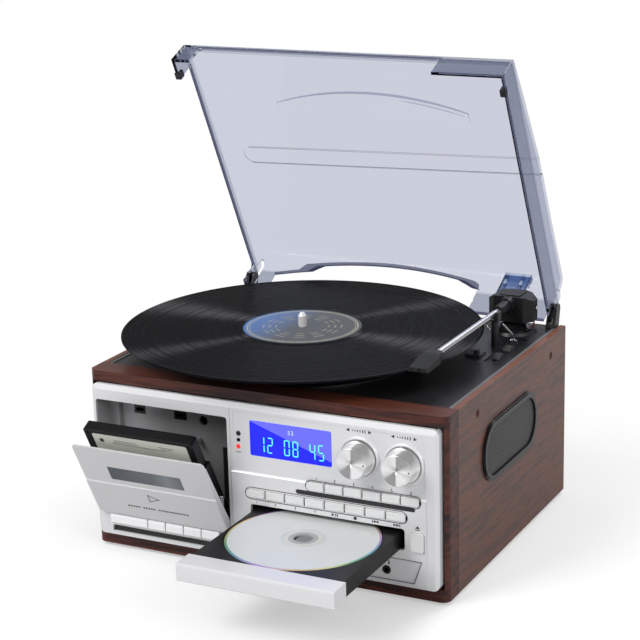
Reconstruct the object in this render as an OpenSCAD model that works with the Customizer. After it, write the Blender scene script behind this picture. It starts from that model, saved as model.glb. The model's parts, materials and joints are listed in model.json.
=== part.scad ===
// Stereo music centre: a wooden cabinet with a record deck and a clear hinged cover on top,
// a cassette door with five keys at the left of its front, and a disc tray, a display, two knobs
// and two rows of buttons at the right. It is drawn in use: cover and door open, tray out.
//
// Drawing frame: X to the right, Y to the back, Z up. X = 0 is the middle of the cabinet, Y = 0 is
// the front face of the wood and Z = 0 is the underside of the cabinet. at_origin() then moves the
// whole to the middle of its own outline, with the soles of the feet at Z = 0.

/* [Cabinet] */
// Width over the side boards
cab_w = 316; // [312:1:330]
// Depth from the wood's front face to the back
cab_d = 262; // [260:1:275]
// Height of the wooden case without its feet
cab_h = 150; // [150:1:160]
// Thickness of the side boards
board_t = 9; // [8:0.5:12]
// Depth of the wooden frame round the front
frame_d = 22; // [22:1:26]
// Radius of the frame's upright corners
frame_r = 7; // [4:0.5:9]
// Height of the frame's top strip
strip_top = 8.6; // [7:0.2:10]
// Height of the frame's bottom strip
strip_bottom = 10; // [9:0.5:11]
// Height of the feet
foot_h = 3; // [2:0.5:8]
// Width of the speaker bezels on the side boards
bezel_w = 118.5; // [100:0.5:125]
// Height of the speaker bezels
bezel_h = 51; // [44:0.5:56]

/* [Record deck] */
// Radius of the record (a standard 12 inch record)
record_r = 150.8; // [87.5:0.1:151]
// Thickness of the record
record_t = 2; // [1.2:0.1:2.4]
// Radius of the platter
platter_r = 100; // [95:1:110]
// Radius of the platter's drive ring
drive_ring_r = 78; // [70:1:80]
// Radius of the motor pulley
pulley_r = 4; // [3.5:0.5:6]
// Radius of the spindle (the standard 7.2 mm pin)
spindle_r = 3.6; // [3.5:0.05:3.6]
// Distance from the arm's pivot to the stylus
arm_l = 195; // [185:1:200]

/* [Cover] */
// How far the cover stands open (0 is closed)
cover_open = 63.5; // [0:0.5:70]
// Wall of the clear cover
cover_t = 2.5; // [2:0.1:3]
// Half of the cover's width
cover_half = 149; // [148.8:0.1:149.2]

/* [Cassette] */
// How far the cassette door leans out (0 is closed)
door_open = 27.6; // [0:0.2:30]
// Width of the door
door_w = 121; // [119:0.5:121]
// Height of the door
door_h = 77.8; // [70:0.2:80]

/* [Disc tray] */
// How far the tray stands out (0 is closed)
tray_out = 117; // [0:1:117]
// Radius of the disc (the standard 120 mm disc)
disc_r = 60; // [40:1:60]

/* [Controls] */
// Radius of the knob caps
knob_r = 12.6; // [11:0.1:13]
// How far the knobs stand out of the panel
knob_l = 15; // [12:0.5:18]
// Travel of the small buttons
button_travel = 1; // [0.6:0.1:1.2]
// Travel of the cassette keys
key_travel = 3; // [2:0.5:4]

/* [Hidden] */
$fn = 72;

fit = 0.05;  // radial play of a shaft in its bore
slide_gap = 0.3;  // play round a part that slides in a cut-out
seam = 0.2;  // joint line between two boards
eps = 0.1;  // overshoot of a cutting shape

half_w = cab_w / 2;
board_in = half_w - board_t;  // inner face of a side board
rebate_d = 4;  // depth and height of the step that carries the deck
deck_top = cab_h - 1;
deck_half = board_in + rebate_d - seam;
back_t = 6;
frame_half = half_w - 3.2;  // half of the opening in the front frame
open_top = cab_h - strip_top;  // top of that opening

// front panel
panel_half = frame_half - 1.8;
panel_y = -5;  // front face
panel_t = 2.5;
panel_back = panel_y + panel_t;
panel_z0 = strip_bottom + 0.8;
panel_z1 = open_top - 0.8;
raise_t = 0.8;  // the lower right part stands forward by this
raise_y = panel_y - raise_t;
step_z = 84.3;  // height of the step across the panel
split_x = -24.6;  // line between the cassette side and the control side
zone_r = 143;  // right end of the raised part

// controls on the panel, as [x, z] of their middles
tuning_at = [87.4, 110.3];
volume_at = [124.8, 110];
ring_r = 17;  // raised ring round a knob
ring_in = 14.9;
skirt_r = 14.3;
lamp_at = [-17.9, 104.6];
eye_at = [-17.5, 115.5];
square_at = [-17.6, 110.1];
display_x = [-7.2, 63.9];
display_z = [99, 127.8];
row1_x = [41.8, 138.2];
row1_z = [78, 84.6];
row1_n = 6;
row2_x = [-11.7, 126.9];
row2_z = [64.2, 70.8];
row2_n = 8;
button_gap = 1.2;  // dark gap between two buttons
button_face = raise_y - 1.4;  // front of the button caps
bar_x = [32.5, 134];  // dark bar between the rows
bar_z = [73.1, 77.0];
slot_x = [-8.2, 125];  // mouth of the disc drive
slot_z = [40.8, 58.3];
open_x = [130.5, 141.1];  // button that opens the tray
open_z = [41.4, 56.8];
jack_x = [94.3, 109.1];  // front jacks
jack_z = 22.2;
jack_r = 3.5;
plug_r = 1.8;  // bore for a 3.5 mm plug

// cassette side
well_x = [-149.5, -27.5];  // opening in the panel
well_z = [31, 127.5];
well_y = 19.5;  // back wall of the well
well_back = frame_d - seam;
door_c = (well_x[0] + well_x[1]) / 2;  // middle of the door
door_foot = 35;  // foot of the closed door
door_y = -6;  // front face of the closed door
pivot_y = 0.6;  // door hinge
pivot_z = 27.7;
pivot_r = 1.4;
lug_w = 5;
lug_rooms = [[well_x[0] - 0.5, well_x[0] + lug_w + 2], [well_x[1] - lug_w - 2, well_x[1] + 0.5]];
tape_w = 100.4;  // cassette
tape_h = 63.8;
tape_t = 8.7;
tape_thick = 12;  // at the head end
tape_y = door_y + 9.8;  // its front face, door closed
tape_z = door_foot + 26.5;  // its lower edge, door closed
hub_dx = 21.25;  // hubs from the middle
hub_z = tape_z + 34.2;
hub_r = 5;
key_edges = [-139.4, -103.8, -87.2, -70.2, -53.4, -37.2];
key_z = [21.4, 30.8];
key_y = -8;  // front of the keys

// disc tray, closed
disc_at = [57.7, 73.7];
disc_z = 53.1;
disc_t = 1.2;
tray_x = [-4.2, 120.8];
tray_z = [slot_z[0] + 0.2, 54.4];
tray_front_x = [-6.7, 123.3];
tray_front_y = -7;
tray_front_d = 19.4;
tray_y = [tray_front_y + tray_front_d, 146];
drive_x = [-12, 129];
drive_z = [36, 62.5];
drive_end = 152;

// record deck
spindle_at = [-22, cab_d - 144];
record_z = 167;  // underside of the record
platter_rim = 13;  // height of the platter's rim
spindle_top = record_z + 14;
shaft_r = 3;  // bearing shaft under the platter
relief_r = spindle_r - 0.3;  // undercut of the spindle inside the record
pulley_d = drive_ring_r + 11;  // spindle to pulley
pulley_dir = 135;  // direction of the pulley, degrees from +X
pulley_at = spindle_at + pulley_d * [cos(pulley_dir), sin(pulley_dir)];
belt_gap = 0.3;
belt_t = 0.8;
belt_z = [155, 160];
arm_at = [deck_half - 31.8, cab_d - 27];  // swivel axis of the arm
arm_z = record_z + 9;  // centre line of the tube
arm_pivot_z = 171.5;  // lift axis
arm_shaft_r = 5;
arm_ring_r = 20;
block_w = 40;
block_y = [-14, 12];  // block, from the swivel axis
block_z = [160.5, 182.5];
tongue_w = 8;
tube_r = 2.6;
sleeve_end = 38;  // end of the sleeve, from the swivel axis
rest_y = cab_d - 76;
rest_z = arm_z - tube_r - 0.5;  // seat of the tube
rest_stem_r = 2;
trough_x = [deck_half - 23.8, deck_half - 10.8];  // trough of the small switches
trough_y = [cab_d - 118, cab_d - 48];
trough_d = 1.4;
speed_y = cab_d - 102;
autostop_y = cab_d - 78;
cue_at = [deck_half - 21.8, cab_d - 53];
adapter_x = [deck_half - 42.8, deck_half - 29.8];  // plate with the peg for records with a large hole
adapter_y = [cab_d - 110, cab_d - 97];

// cover, in its own closed frame: its rear rim at Y = 0, its front towards -Y, its rim at Z = 0
hinge_y = cab_d - 1.1;
hinge_z = 164.7;
hinge_from_rim = [7, 13.7];
cover_front = -244.5;
cover_rear = 11;
crease_z = 24;
crease_in = 1.2;
rim_z = hinge_z - hinge_from_rim[1];
notch_top = 20.5;  // top of the cut-outs that the record passes through
notch_front_x = [-132, 88];
notch_left_y = [-224, 0];
notch_rear_x = [-128, 72];
arch_r = 391;  // arched top of the rear cut-out
arch_top = 39;
arch_shift = 14;
hinge_pin_r = 2;
ear_t = 2.5;
ear_gap = 0.4;

// outline at rest, for the origin
outline_x = [spindle_at[0] - record_r, half_w + 2.5];
lean = [hinge_from_rim[0] + 0.6, 43 - hinge_from_rim[1]];
outline_y = [tray_front_y - tray_out, hinge_y - lean[0] * cos(cover_open) + lean[1] * sin(cover_open)];
origin_x = (outline_x[0] + outline_x[1]) / 2;
origin_y = (outline_y[0] + outline_y[1]) / 2;

// ---------------------------------------------------------------- helpers

// moves a piece from the drawing frame to the part's own frame
module at_origin() {
    translate([-origin_x, -origin_y, foot_h])
        children();
}

// extrudes a drawing of the front view, [x, z], from y0 to y1
module front_plate(y0, y1) {
    translate([0, y1, 0])
        rotate([90, 0, 0])
            linear_extrude(y1 - y0)
                children();
}

// extrudes a drawing of the side view, [y, z], from x0 to x1
module side_plate(x0, x1) {
    translate([x0, 0, 0])
        rotate([90, 0, 90])
            linear_extrude(x1 - x0)
                children();
}

// extrudes a drawing of the plan, [x, y], from z0 to z1
module flat_plate(z0, z1) {
    translate([0, 0, z0])
        linear_extrude(z1 - z0)
            children();
}

// block between two values on each axis
module block(x, y, z) {
    translate([x[0], y[0], z[0]])
        cube([x[1] - x[0], y[1] - y[0], z[1] - z[0]]);
}

// rectangle with round corners
module round_rect(x, y, r) {
    translate([x[0] + r, y[0]])
        square([x[1] - x[0] - 2 * r, y[1] - y[0]]);
    translate([x[0], y[0] + r])
        square([x[1] - x[0], y[1] - y[0] - 2 * r]);
    for (cx = [x[0] + r, x[1] - r], cy = [y[0] + r, y[1] - r])
        translate([cx, cy])
            circle(r);
}

// bar with fully round ends
module capsule(x, y) {
    r = (y[1] - y[0]) / 2;
    translate([x[0] + r, y[0]])
        square([x[1] - x[0] - 2 * r, y[1] - y[0]]);
    for (cx = [x[0] + r, x[1] - r])
        translate([cx, y[0] + r])
            circle(r);
}

// cylinder along X
module x_cyl(x, y, z, r) {
    translate([x[0], y, z])
        rotate([0, 90, 0])
            cylinder(h = x[1] - x[0], r = r);
}

// cylinder along Y, which may taper from r0 in front to r1 behind
module y_cyl(x, y, z, r0, r1) {
    translate([x, y[0], z])
        rotate([-90, 0, 0])
            cylinder(h = y[1] - y[0], r1 = r0, r2 = r1);
}

// the same piece on both sides of the cabinet
module both_sides() {
    children();
    mirror([1, 0, 0])
        children();
}

function grow(range, by) = [range[0] - by, range[1] + by];
function middle(range) = (range[0] + range[1]) / 2;

// ---------------------------------------------------------------- cabinet

// speaker on a side board, [y, z]
speaker_y = [69.5, 69.5 + bezel_w];
speaker_z = [68.5, 68.5 + bezel_h];
speaker_r = 24;
bezel_ring = 5;
screw_at = [[60.2, 134.5], [224.8, 133.5]];

module front_frame() {
    color("saddlebrown")
        at_origin()
            difference() {
                flat_plate(0, cab_h) {
                    translate([-half_w, frame_r])
                        square([cab_w, frame_d - frame_r]);
                    translate([-half_w + frame_r, 0])
                        square([cab_w - 2 * frame_r, frame_d]);
                    for (x = [-half_w + frame_r, half_w - frame_r])
                        translate([x, frame_r])
                            circle(frame_r);
                }
                block([-frame_half, frame_half], [-eps, frame_d + eps], [strip_bottom, open_top]);
            }
}

// right side board; the left one is its mirror image
module side_board() {
    difference() {
        block([board_in, half_w], [frame_d + seam, cab_d], [0, cab_h]);
        // step for the deck
        block([board_in - eps, board_in + rebate_d], [frame_d, cab_d + eps], [cab_h - rebate_d, cab_h + eps]);
        // hole for the speaker
        side_plate(board_in - eps, half_w + eps)
            round_rect(grow(speaker_y, -4), grow(speaker_z, -4), speaker_r - 4);
        // countersunk screw holes
        for (at = screw_at) {
            x_cyl([board_in - eps, half_w + eps], at[0], at[1], 1.8);
            x_cyl([half_w - 2.6, half_w + eps], at[0], at[1], 3.6);
        }
    }
}

module side_right() {
    color("sienna")
        at_origin()
            side_board();
}

module side_left() {
    color("sienna")
        at_origin()
            mirror([1, 0, 0])
                side_board();
}

module back_panel() {
    vent_n = 9;
    color("dimgray")
        at_origin()
            difference() {
                block([-board_in + seam, board_in - seam], [cab_d - back_t, cab_d],
                      [board_t, cab_h - rebate_d]);
                // vent slots over the transformer
                for (i = [0:vent_n - 1])
                    front_plate(cab_d - back_t - eps, cab_d + eps)
                        capsule([-132, -78], [30 + 8 * i, 33 + 8 * i]);
                // opening for the socket plate
                front_plate(cab_d - back_t - eps, cab_d + eps)
                    round_rect([20, 122], [30, 62], 3);
            }
}

module bottom_board() {
    color("peru")
        at_origin()
            difference() {
                block([-board_in + seam, board_in - seam], [frame_d + seam, cab_d], [0, board_t]);
                // air slots
                for (i = [0:5])
                    flat_plate(-eps, board_t + eps)
                        capsule([-70 + 10, 70 - 10], [90 + 18 * i, 94 + 18 * i]);
            }
}

module feet() {
    foot_r = 9;
    color("black")
        at_origin()
            for (x = [-135, 135], y = [40, 236])
                translate([x, y, -foot_h])
                    difference() {
                        cylinder(h = foot_h, r1 = foot_r - 1, r2 = foot_r);
                        translate([0, 0, -eps])
                            cylinder(h = 1.2 + eps, r = 3);
                    }
}

module side_screws() {
    head_r = 3.4;
    color("silver")
        at_origin()
            both_sides()
                for (at = screw_at)
                    difference() {
                        union() {
                            x_cyl([half_w - 2.6, half_w - 0.5], at[0], at[1], head_r);
                            x_cyl([half_w - 14, half_w - 2.5], at[0], at[1], 1.6);
                        }
                        for (turn = [0, 90])
                            translate([half_w - 1.6, at[0], at[1]])
                                rotate([turn + 20, 0, 0])
                                    translate([0, -2.4, -0.45])
                                        cube([2, 4.8, 0.9]);
                    }
}

// ---------------------------------------------------------------- record deck

module deck() {
    skin = 3;  // thickness of the deck plate
    rail_w = 2.8;
    under = deck_top - skin;
    color("#26272a")
        at_origin()
            difference() {
                union() {
                    block([-deck_half, deck_half], [frame_d + seam, cab_d - seam], [under, deck_top]);
                    // bevelled rails along both edges
                    both_sides()
                        front_plate(frame_d + seam, cab_d - seam)
                            polygon([[deck_half - rail_w - 1, deck_top - eps],
                                     [deck_half - rail_w, deck_top + 0.8],
                                     [deck_half - 0.6, deck_top + 0.8], [deck_half, deck_top]]);
                    // raised ring round the platter, open at the front edge of the deck
                    difference() {
                        translate([spindle_at[0], spindle_at[1], deck_top - eps])
                            cylinder(h = 1.6, r = platter_r + 7);
                        translate([spindle_at[0], spindle_at[1], deck_top - 2 * eps])
                            cylinder(h = 2, r = platter_r + 2.5);
                        block([-half_w, half_w], [0, frame_d + 4], [deck_top - 1, deck_top + 3]);
                    }
                    // bearing of the spindle
                    translate([spindle_at[0], spindle_at[1], under - 24])
                        cylinder(h = 26, r = 9);
                    // base ring and bearing of the arm
                    translate([arm_at[0], arm_at[1], deck_top - eps])
                        cylinder(h = 2.6, r1 = arm_ring_r, r2 = arm_ring_r - 1.5);
                    translate([arm_at[0], arm_at[1], under - 18])
                        cylinder(h = 20, r = 10);
                    // plate with its peg for large holes
                    block(adapter_x, adapter_y, [deck_top - eps, deck_top + 1.5]);
                    translate([middle(adapter_x) + 1, middle(adapter_y), deck_top])
                        cylinder(h = 4, r = 2.4);
                    // posts that carry the motor
                    for (turn = [0, 120, 240])
                        translate([pulley_at[0], pulley_at[1], under - 6])
                            rotate([0, 0, turn])
                                translate([13, 0, 0])
                                    cylinder(h = 7, r = 2.5);
                }
                // bores
                translate([spindle_at[0], spindle_at[1], under - 25])
                    cylinder(h = 40, r = shaft_r + fit);
                translate([arm_at[0], arm_at[1], under - 19])
                    cylinder(h = 40, r = arm_shaft_r + fit);
                translate([arm_at[0] + 2, rest_y, under - eps])
                    cylinder(h = 10, r = rest_stem_r + fit);
                translate([pulley_at[0], pulley_at[1], under - eps])
                    cylinder(h = 10, r = pulley_r + 3);
                // trough with the slots of the two switches
                block(trough_x, trough_y, [deck_top - trough_d, deck_top + 2]);
                for (y = [speed_y, autostop_y])
                    block(grow([middle(trough_x), middle(trough_x)], 1.6), [y - 7.5, y + 7.5],
                          [under - eps, deck_top]);
                // gaps in the rails for the hinge brackets
                both_sides()
                    block([deck_half - 10, deck_half + 1], [hinge_y - 10.4, cab_d], [deck_top, deck_top + 2]);
                // seat of the cue lever
                x_cyl([cue_at[0] - 3, cue_at[0] + 3], cue_at[1], deck_top - trough_d / 2, 1.6);
                block([cue_at[0] - 1.2, cue_at[0] + 1.2], [cue_at[1] - 3, cue_at[1] + 3],
                      [under - eps, deck_top + eps]);
            }
    // arm rest: its stem sits in the deck, and its fork is open towards the record
    color("#26272a")
        at_origin() {
            translate([arm_at[0] + 2, rest_y, 0]) {
                translate([0, 0, under])
                    cylinder(h = skin + 1, r = rest_stem_r);
                translate([0, 0, deck_top + fit])
                    cylinder(h = rest_z - 1 - deck_top, r = 3.2);
            }
            block([arm_at[0] - 4, arm_at[0] + 6], [rest_y - 4, rest_y + 4], [rest_z - 1.5, rest_z]);
            block([arm_at[0] + tube_r + 0.6, arm_at[0] + 6], [rest_y - 4, rest_y + 4], [rest_z - 1.5, arm_z + 3]);
        }
}

// platter: a rim and a drive ring under a flat top, with the spindle through its middle
module platter() {
    top = record_z;
    color("#3a3a3c")
        at_origin()
            translate([spindle_at[0], spindle_at[1], 0]) {
                rotate_extrude()
                    polygon([[0, top - 40], [shaft_r, top - 40], [shaft_r, top - 17.5], [8, top - 17.5],
                             [8, top - 4], [drive_ring_r - 3, top - 4],
                             [drive_ring_r - 3, top - platter_rim], [drive_ring_r, top - platter_rim],
                             [drive_ring_r, top - 4], [platter_r - 3.5, top - 4],
                             [platter_r - 3.5, top - platter_rim], [platter_r, top - platter_rim],
                             [platter_r, top - 1], [platter_r - 1, top], [relief_r, top],
                             [relief_r, top + record_t + 0.2], [spindle_r, top + record_t + 0.4],
                             [spindle_r, spindle_top - 2.5], [spindle_r - 1.8, spindle_top],
                             [0, spindle_top]]);
            }
}

// record: raised edge bead and label area, thinner playing surface, spindle hole
module record() {
    label_r = 50;
    bead = 4;
    color("#0c0c0e")
        at_origin()
            translate([spindle_at[0], spindle_at[1], record_z])
                rotate_extrude($fn = 180)
                    polygon([[spindle_r + fit, 0], [label_r + 2, 0], [label_r + 5, 0.35],
                             [record_r - bead, 0.35], [record_r - 1.5, 0],
                             [record_r, record_t / 2 - 0.3], [record_r, record_t / 2 + 0.3],
                             [record_r - 1.5, record_t], [record_r - bead, record_t - 0.35],
                             [label_r + 5, record_t - 0.35], [label_r + 2, record_t],
                             [spindle_r + fit, record_t]]);
}

module platter_motor() {
    motor_r = 17;
    top = deck_top - 9;
    color("silver")
        at_origin()
            translate([pulley_at[0], pulley_at[1], 0])
                difference() {
                    union() {
                        translate([0, 0, top - 28])
                            cylinder(h = 28, r = motor_r);
                        translate([0, 0, top - eps])
                            cylinder(h = 3, r = 5);
                        translate([0, 0, top - 30])
                            cylinder(h = 2.1, r = 6);
                    }
                    translate([0, 0, top - 20])
                        cylinder(h = 30, r = 1 + fit);
                }
}

module motor_pulley() {
    color("goldenrod")
        at_origin()
            translate([pulley_at[0], pulley_at[1], 0]) {
                translate([0, 0, deck_top - 20])
                    cylinder(h = 24, r = 1);
                translate([0, 0, belt_z[0] - 2])
                    cylinder(h = 1.5, r = pulley_r + 1);
                translate([0, 0, belt_z[0] - 1])
                    cylinder(h = belt_z[1] - belt_z[0] + 2, r = pulley_r);
                translate([0, 0, belt_z[1] + 0.5])
                    cylinder(h = 1, r = pulley_r + 1);
            }
}

// outline of a loop round two wheels a distance d apart: an arc on each wheel between the two
// tangent lines, in short straight steps
function loop_outline(r0, r1, d) =
    let (touch = acos((r0 - r1) / d), steps = 40)
    concat([for (i = [0:steps]) let (a = touch + i * (360 - 2 * touch) / steps) r0 * [cos(a), sin(a)]],
           [for (i = [0:steps / 4]) let (a = -touch + i * 8 * touch / steps) [d, 0] + r1 * [cos(a), sin(a)]]);

module drive_belt() {
    color("black")
        at_origin()
            translate([spindle_at[0], spindle_at[1], belt_z[0]])
                rotate([0, 0, pulley_dir])
                    difference() {
                        linear_extrude(belt_z[1] - belt_z[0])
                            polygon(loop_outline(drive_ring_r + belt_gap + belt_t,
                                                 pulley_r + belt_gap + belt_t, pulley_d));
                        translate([0, 0, -eps])
                            linear_extrude(belt_z[1] - belt_z[0] + 2 * eps)
                                polygon(loop_outline(drive_ring_r + belt_gap, pulley_r + belt_gap, pulley_d));
                    }
}

// moves to the arm's swivel axis; the arm points to -Y when it is parked
module at_arm() {
    at_origin()
        translate([arm_at[0], arm_at[1], 0])
            children();
}

module arm_turret() {
    foot = deck_top + 2.7;
    cone_top = 158.5;
    color("#3c3c40")
        at_arm() {
            difference() {
                union() {
                    rotate_extrude()
                        polygon([[0, foot - 18], [arm_shaft_r, foot - 18], [arm_shaft_r, foot],
                                 [16, foot], [16, foot + 1.2], [14.5, foot + 1.6], [8, cone_top],
                                 [0, cone_top]]);
                    block([-tongue_w / 2, tongue_w / 2], [-5, 5], [cone_top - 1, arm_pivot_z + 4]);
                }
            }
            // lift pin
            x_cyl([-block_w / 2 - 0.4, block_w / 2 + 0.4], 0, arm_pivot_z, 2.5);
        }
}

module arm_block() {
    corner = 7;
    x = block_w / 2;
    color("#1b1b1d")
        at_arm()
            difference() {
                union() {
                    intersection() {
                        flat_plate(block_z[0], block_z[1])
                            polygon([[-x, block_y[0] + corner], [-x + corner, block_y[0]],
                                     [x - corner, block_y[0]], [x, block_y[0] + corner],
                                     [x, block_y[1] - 9], [x - 13, block_y[1]],
                                     [-x + 13, block_y[1]], [-x, block_y[1] - 9]]);
                        front_plate(block_y[0] - 1, block_y[1] + 1)
                            polygon([[-x, block_z[0]], [x, block_z[0]], [x, block_z[1] - 4],
                                     [x - 6, block_z[1]], [-x + 6, block_z[1]], [-x, block_z[1] - 4]]);
                    }
                    // plate on top and the sleeve that grips the tube
                    block([-9, 9], [block_y[0] + 4, block_y[1] - 4], [block_z[1] - eps, block_z[1] + 0.6]);
                    y_cyl(0, [-sleeve_end, block_y[0] + eps], arm_z, 4.6, 5.2);
                    y_cyl(0, [-20, block_y[0] + eps], arm_z, 6.2, 7.2);
                }
                // slot for the turret's tongue, open below
                block([-tongue_w / 2 - 0.4, tongue_w / 2 + 0.4], [-8.5, 8.5],
                      [block_z[0] - eps, arm_pivot_z + 7]);
                x_cyl([-x - 1, x + 1], 0, arm_pivot_z, 2.5 + fit);
                y_cyl(0, [-sleeve_end - eps, block_y[0] - 3], arm_z, tube_r + fit, tube_r + fit);
            }
}

module arm_tube() {
    color("silver")
        at_arm()
            difference() {
                y_cyl(0, [-arm_l + 20, block_y[0] - 3.1], arm_z, tube_r, tube_r);
                y_cyl(0, [-arm_l + 19, block_y[0] - 3], arm_z, tube_r - 0.8, tube_r - 0.8);
            }
}

// headshell with its cartridge, stylus and finger lift
module headshell() {
    back = -arm_l + 28;
    tip = record_z + record_t + 0.3;
    color("#1b1b1d")
        at_arm()
            difference() {
                union() {
                    intersection() {
                        flat_plate(arm_z - 4, arm_z + 3.4)
                            polygon([[-4.6, back], [4.6, back], [8, back - 12], [7.4, -arm_l - 9],
                                     [-7.4, -arm_l - 9], [-8, back - 12]]);
                        side_plate(-9, 9)
                            polygon([[back + 1, arm_z - 5], [back + 1, arm_z + 3.4], [back - 9, arm_z + 3.4],
                                     [-arm_l - 10, arm_z - 1], [-arm_l - 10, arm_z - 5]]);
                    }
                    // cartridge
                    side_plate(-6.5, 6.5)
                        polygon([[-arm_l - 7, arm_z - 3.9], [back - 13, arm_z - 3.9],
                                 [back - 15, arm_z - 5.4], [-arm_l - 5, arm_z - 5.4]]);
                    // stylus
                    translate([0, -arm_l, tip])
                        cylinder(h = arm_z - 5.3 - tip, r1 = 0.25, r2 = 0.8);
                    // finger lift
                    side_plate(-0.8, 0.8)
                        polygon([[-arm_l - 8.9, arm_z - 3], [-arm_l - 12.5, arm_z - 2.2],
                                 [-arm_l - 12.5, arm_z - 1], [-arm_l - 8.9, arm_z - 1.4]]);
                }
                y_cyl(0, [-arm_l + 19.9, back + eps], arm_z, tube_r + fit, tube_r + fit);
            }
}

// cue lever: a bent wire on a short axle
module cue_lever() {
    wire = 1.1;
    low = [cue_at[0], cue_at[1], deck_top - trough_d / 2];
    bend = [cue_at[0], cue_at[1] - 5, deck_top + 6.5];
    top = [cue_at[0] - 5, cue_at[1] - 12, deck_top + 16];
    color("silver")
        at_origin() {
            x_cyl([low[0] - 2.8, low[0] + 2.8], low[1], low[2], 1.5);
            for (pair = [[low, bend], [bend, top]])
                hull()
                    for (p = pair)
                        translate(p)
                            sphere(wire, $fn = 24);
        }
}

// small slide switch: its knob in the trough and its stem through the slot
module slide_switch(y) {
    mid = middle(trough_x);
    floor_z = deck_top - trough_d;
    color("#4a4a4c")
        at_origin() {
            side_plate(mid - 3.4, mid + 3.4)
                polygon([[y - 5, floor_z + 0.3], [y + 5, floor_z + 0.3], [y + 3.4, deck_top + 2],
                         [y + 1, deck_top + 1.3], [y - 1, deck_top + 1.3], [y - 3.4, deck_top + 2]]);
            block([mid - 1.2, mid + 1.2], [y - 2.5, y + 2.5], [deck_top - 7, floor_z + 0.4]);
        }
}

module speed_switch() {
    slide_switch(speed_y);
}

module autostop_switch() {
    slide_switch(autostop_y);
}

// ---------------------------------------------------------------- cover

// turns a piece from the closed cover's own frame to where the open cover stands
module at_cover() {
    at_origin()
        translate([0, hinge_y, hinge_z])
            rotate([-cover_open, 0, 0])
                translate([0, -hinge_from_rim[0], -hinge_from_rim[1]])
                    children();
}

// side view of the cover, [y, z], drawn in by t; the lower edge lies at foot
function cover_side(t, foot) = [
    [cover_rear - t, foot],
    [cover_rear - 1 - t, crease_z],
    [cover_rear - 1.6 - t, 31 - 0.6 * t],
    [3.5 - t, 33.5 - 0.8 * t],
    [1.6 - 0.9 * t, 40.5 - 0.6 * t],
    [-0.6 - 0.6 * t, 43 - 0.8 * t],
    [-5, 44.3 - t],
    [-34, 43.2 - t],
    [-68, 42.3 - t],
    [-126, 42 - t],
    [-165.6, 37.1 - t],
    [-203.5, 32.4 - t],
    [-226, 28.8 - t],
    [cover_front + 4 + 0.5 * t, 26.3 - t],
    [cover_front + 1.2 + t, 23.6 - 0.4 * t],
    [cover_front + t, foot]];

// front view of the cover, [x, z], drawn in by t
function cover_front_view(t, foot) =
    let (half = cover_half - t)
    [[-half, foot], [-half, crease_z - 1], [-half + crease_in, crease_z], [-half + crease_in + 0.8, 60],
     [half - crease_in - 0.8, 60], [half - crease_in, crease_z], [half, crease_z - 1], [half, foot]];

module cover_body(t, foot) {
    riser_r = 252.8;  // the arched riser on the top
    riser_tip = 195;
    intersection() {
        side_plate(-cover_half - 1, cover_half + 1)
            polygon(cover_side(t, foot));
        front_plate(cover_front - 1, cover_rear + 1)
            polygon(cover_front_view(t, foot));
    }
    // raised zone that ends in the arch
    intersection() {
        translate([6, riser_r - riser_tip, 26])
            cylinder(h = 11.1 - t, r = riser_r - t, $fn = 240);
        block([-82.5 + t, 94.5 - t], [-riser_tip - 1, -150], [26, 60]);
    }
}

module dust_cover() {
    web_y = [-3.6, -1.6];  // ribbed web that hangs from the top
    color("lightsteelblue", 0.4)
        at_cover()
            difference() {
                union() {
                    difference() {
                        cover_body(0, 0);
                        cover_body(cover_t, -1);
                    }
                    block([96, 120], web_y, [7.5, 42]);
                    for (x = [97, 111.5])
                        block([x, x + 2.5], [web_y[1] - eps, web_y[1] + 3], [8, 36]);
                }
                // small window near the foot of the web
                block([103, 110], grow(web_y, 1), [9, 13]);
                // cut-outs for the record
                front_plate(cover_front - 1, cover_front + cover_t + 2)
                    round_rect(notch_front_x, [-10, notch_top], 4);
                side_plate(-cover_half - 1, -cover_half + cover_t + 1)
                    round_rect(notch_left_y, [-10, notch_top], 4);
                front_plate(-2, cover_rear + 1)
                    intersection() {
                        translate([notch_rear_x[0], -1])
                            square([notch_rear_x[1] - notch_rear_x[0], 60]);
                        translate([middle(notch_rear_x) + arch_shift, arch_top - arch_r])
                            circle(arch_r, $fn = 240);
                    }
                // room for the inner ears of the hinge brackets, and the pin bores
                both_sides()
                    block([cover_half - cover_t - 4.2, cover_half - cover_t + eps], [2, cover_rear + 1], [-1, 33]);
                x_cyl([-cover_half - 1, cover_half + 1], hinge_from_rim[0], hinge_from_rim[1], hinge_pin_r + fit);
                // long shallow groove across the top
                flat_plate(41.1, 50) {
                    polygon([[-126, -107], [cover_half + 1, -117], [cover_half + 1, -133.5], [-126, -124]]);
                    translate([-126, -115.5])
                        circle(8.4);
                }
            }
}

module cover_bumpers() {
    color("black")
        at_cover()
            both_sides() {
                block([cover_half - cover_t - 2.6, cover_half], [-231.4, -225.4], [-1.9, 0]);
                block([cover_half - cover_t - 2.6, cover_half - cover_t], [-231.4, -225.4], [-eps, 4.5]);
            }
}

// two forked brackets with the cover's wall and pin between their ears
module hinge_brackets() {
    inner = [cover_half - cover_t - ear_gap - ear_t, cover_half - cover_t - ear_gap];
    outer = [cover_half + ear_gap, cover_half + ear_gap + ear_t];
    base = deck_top + 0.7;
    color("#303032")
        at_origin()
            both_sides() {
                for (x = [inner, outer])
                    side_plate(x[0], x[1]) {
                        translate([hinge_y, hinge_z])
                            circle(4.5);
                        polygon([[hinge_y - 9.9, deck_top], [cab_d - seam, deck_top], [hinge_y + 4.5, hinge_z],
                                 [hinge_y - 4.5, hinge_z]]);
                    }
                block([inner[0], outer[1]], [hinge_y - 9.9, cab_d - seam], [deck_top, base]);
                x_cyl([inner[0], outer[1]], hinge_y, hinge_z, hinge_pin_r);
            }
}

// ---------------------------------------------------------------- front panel

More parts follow.
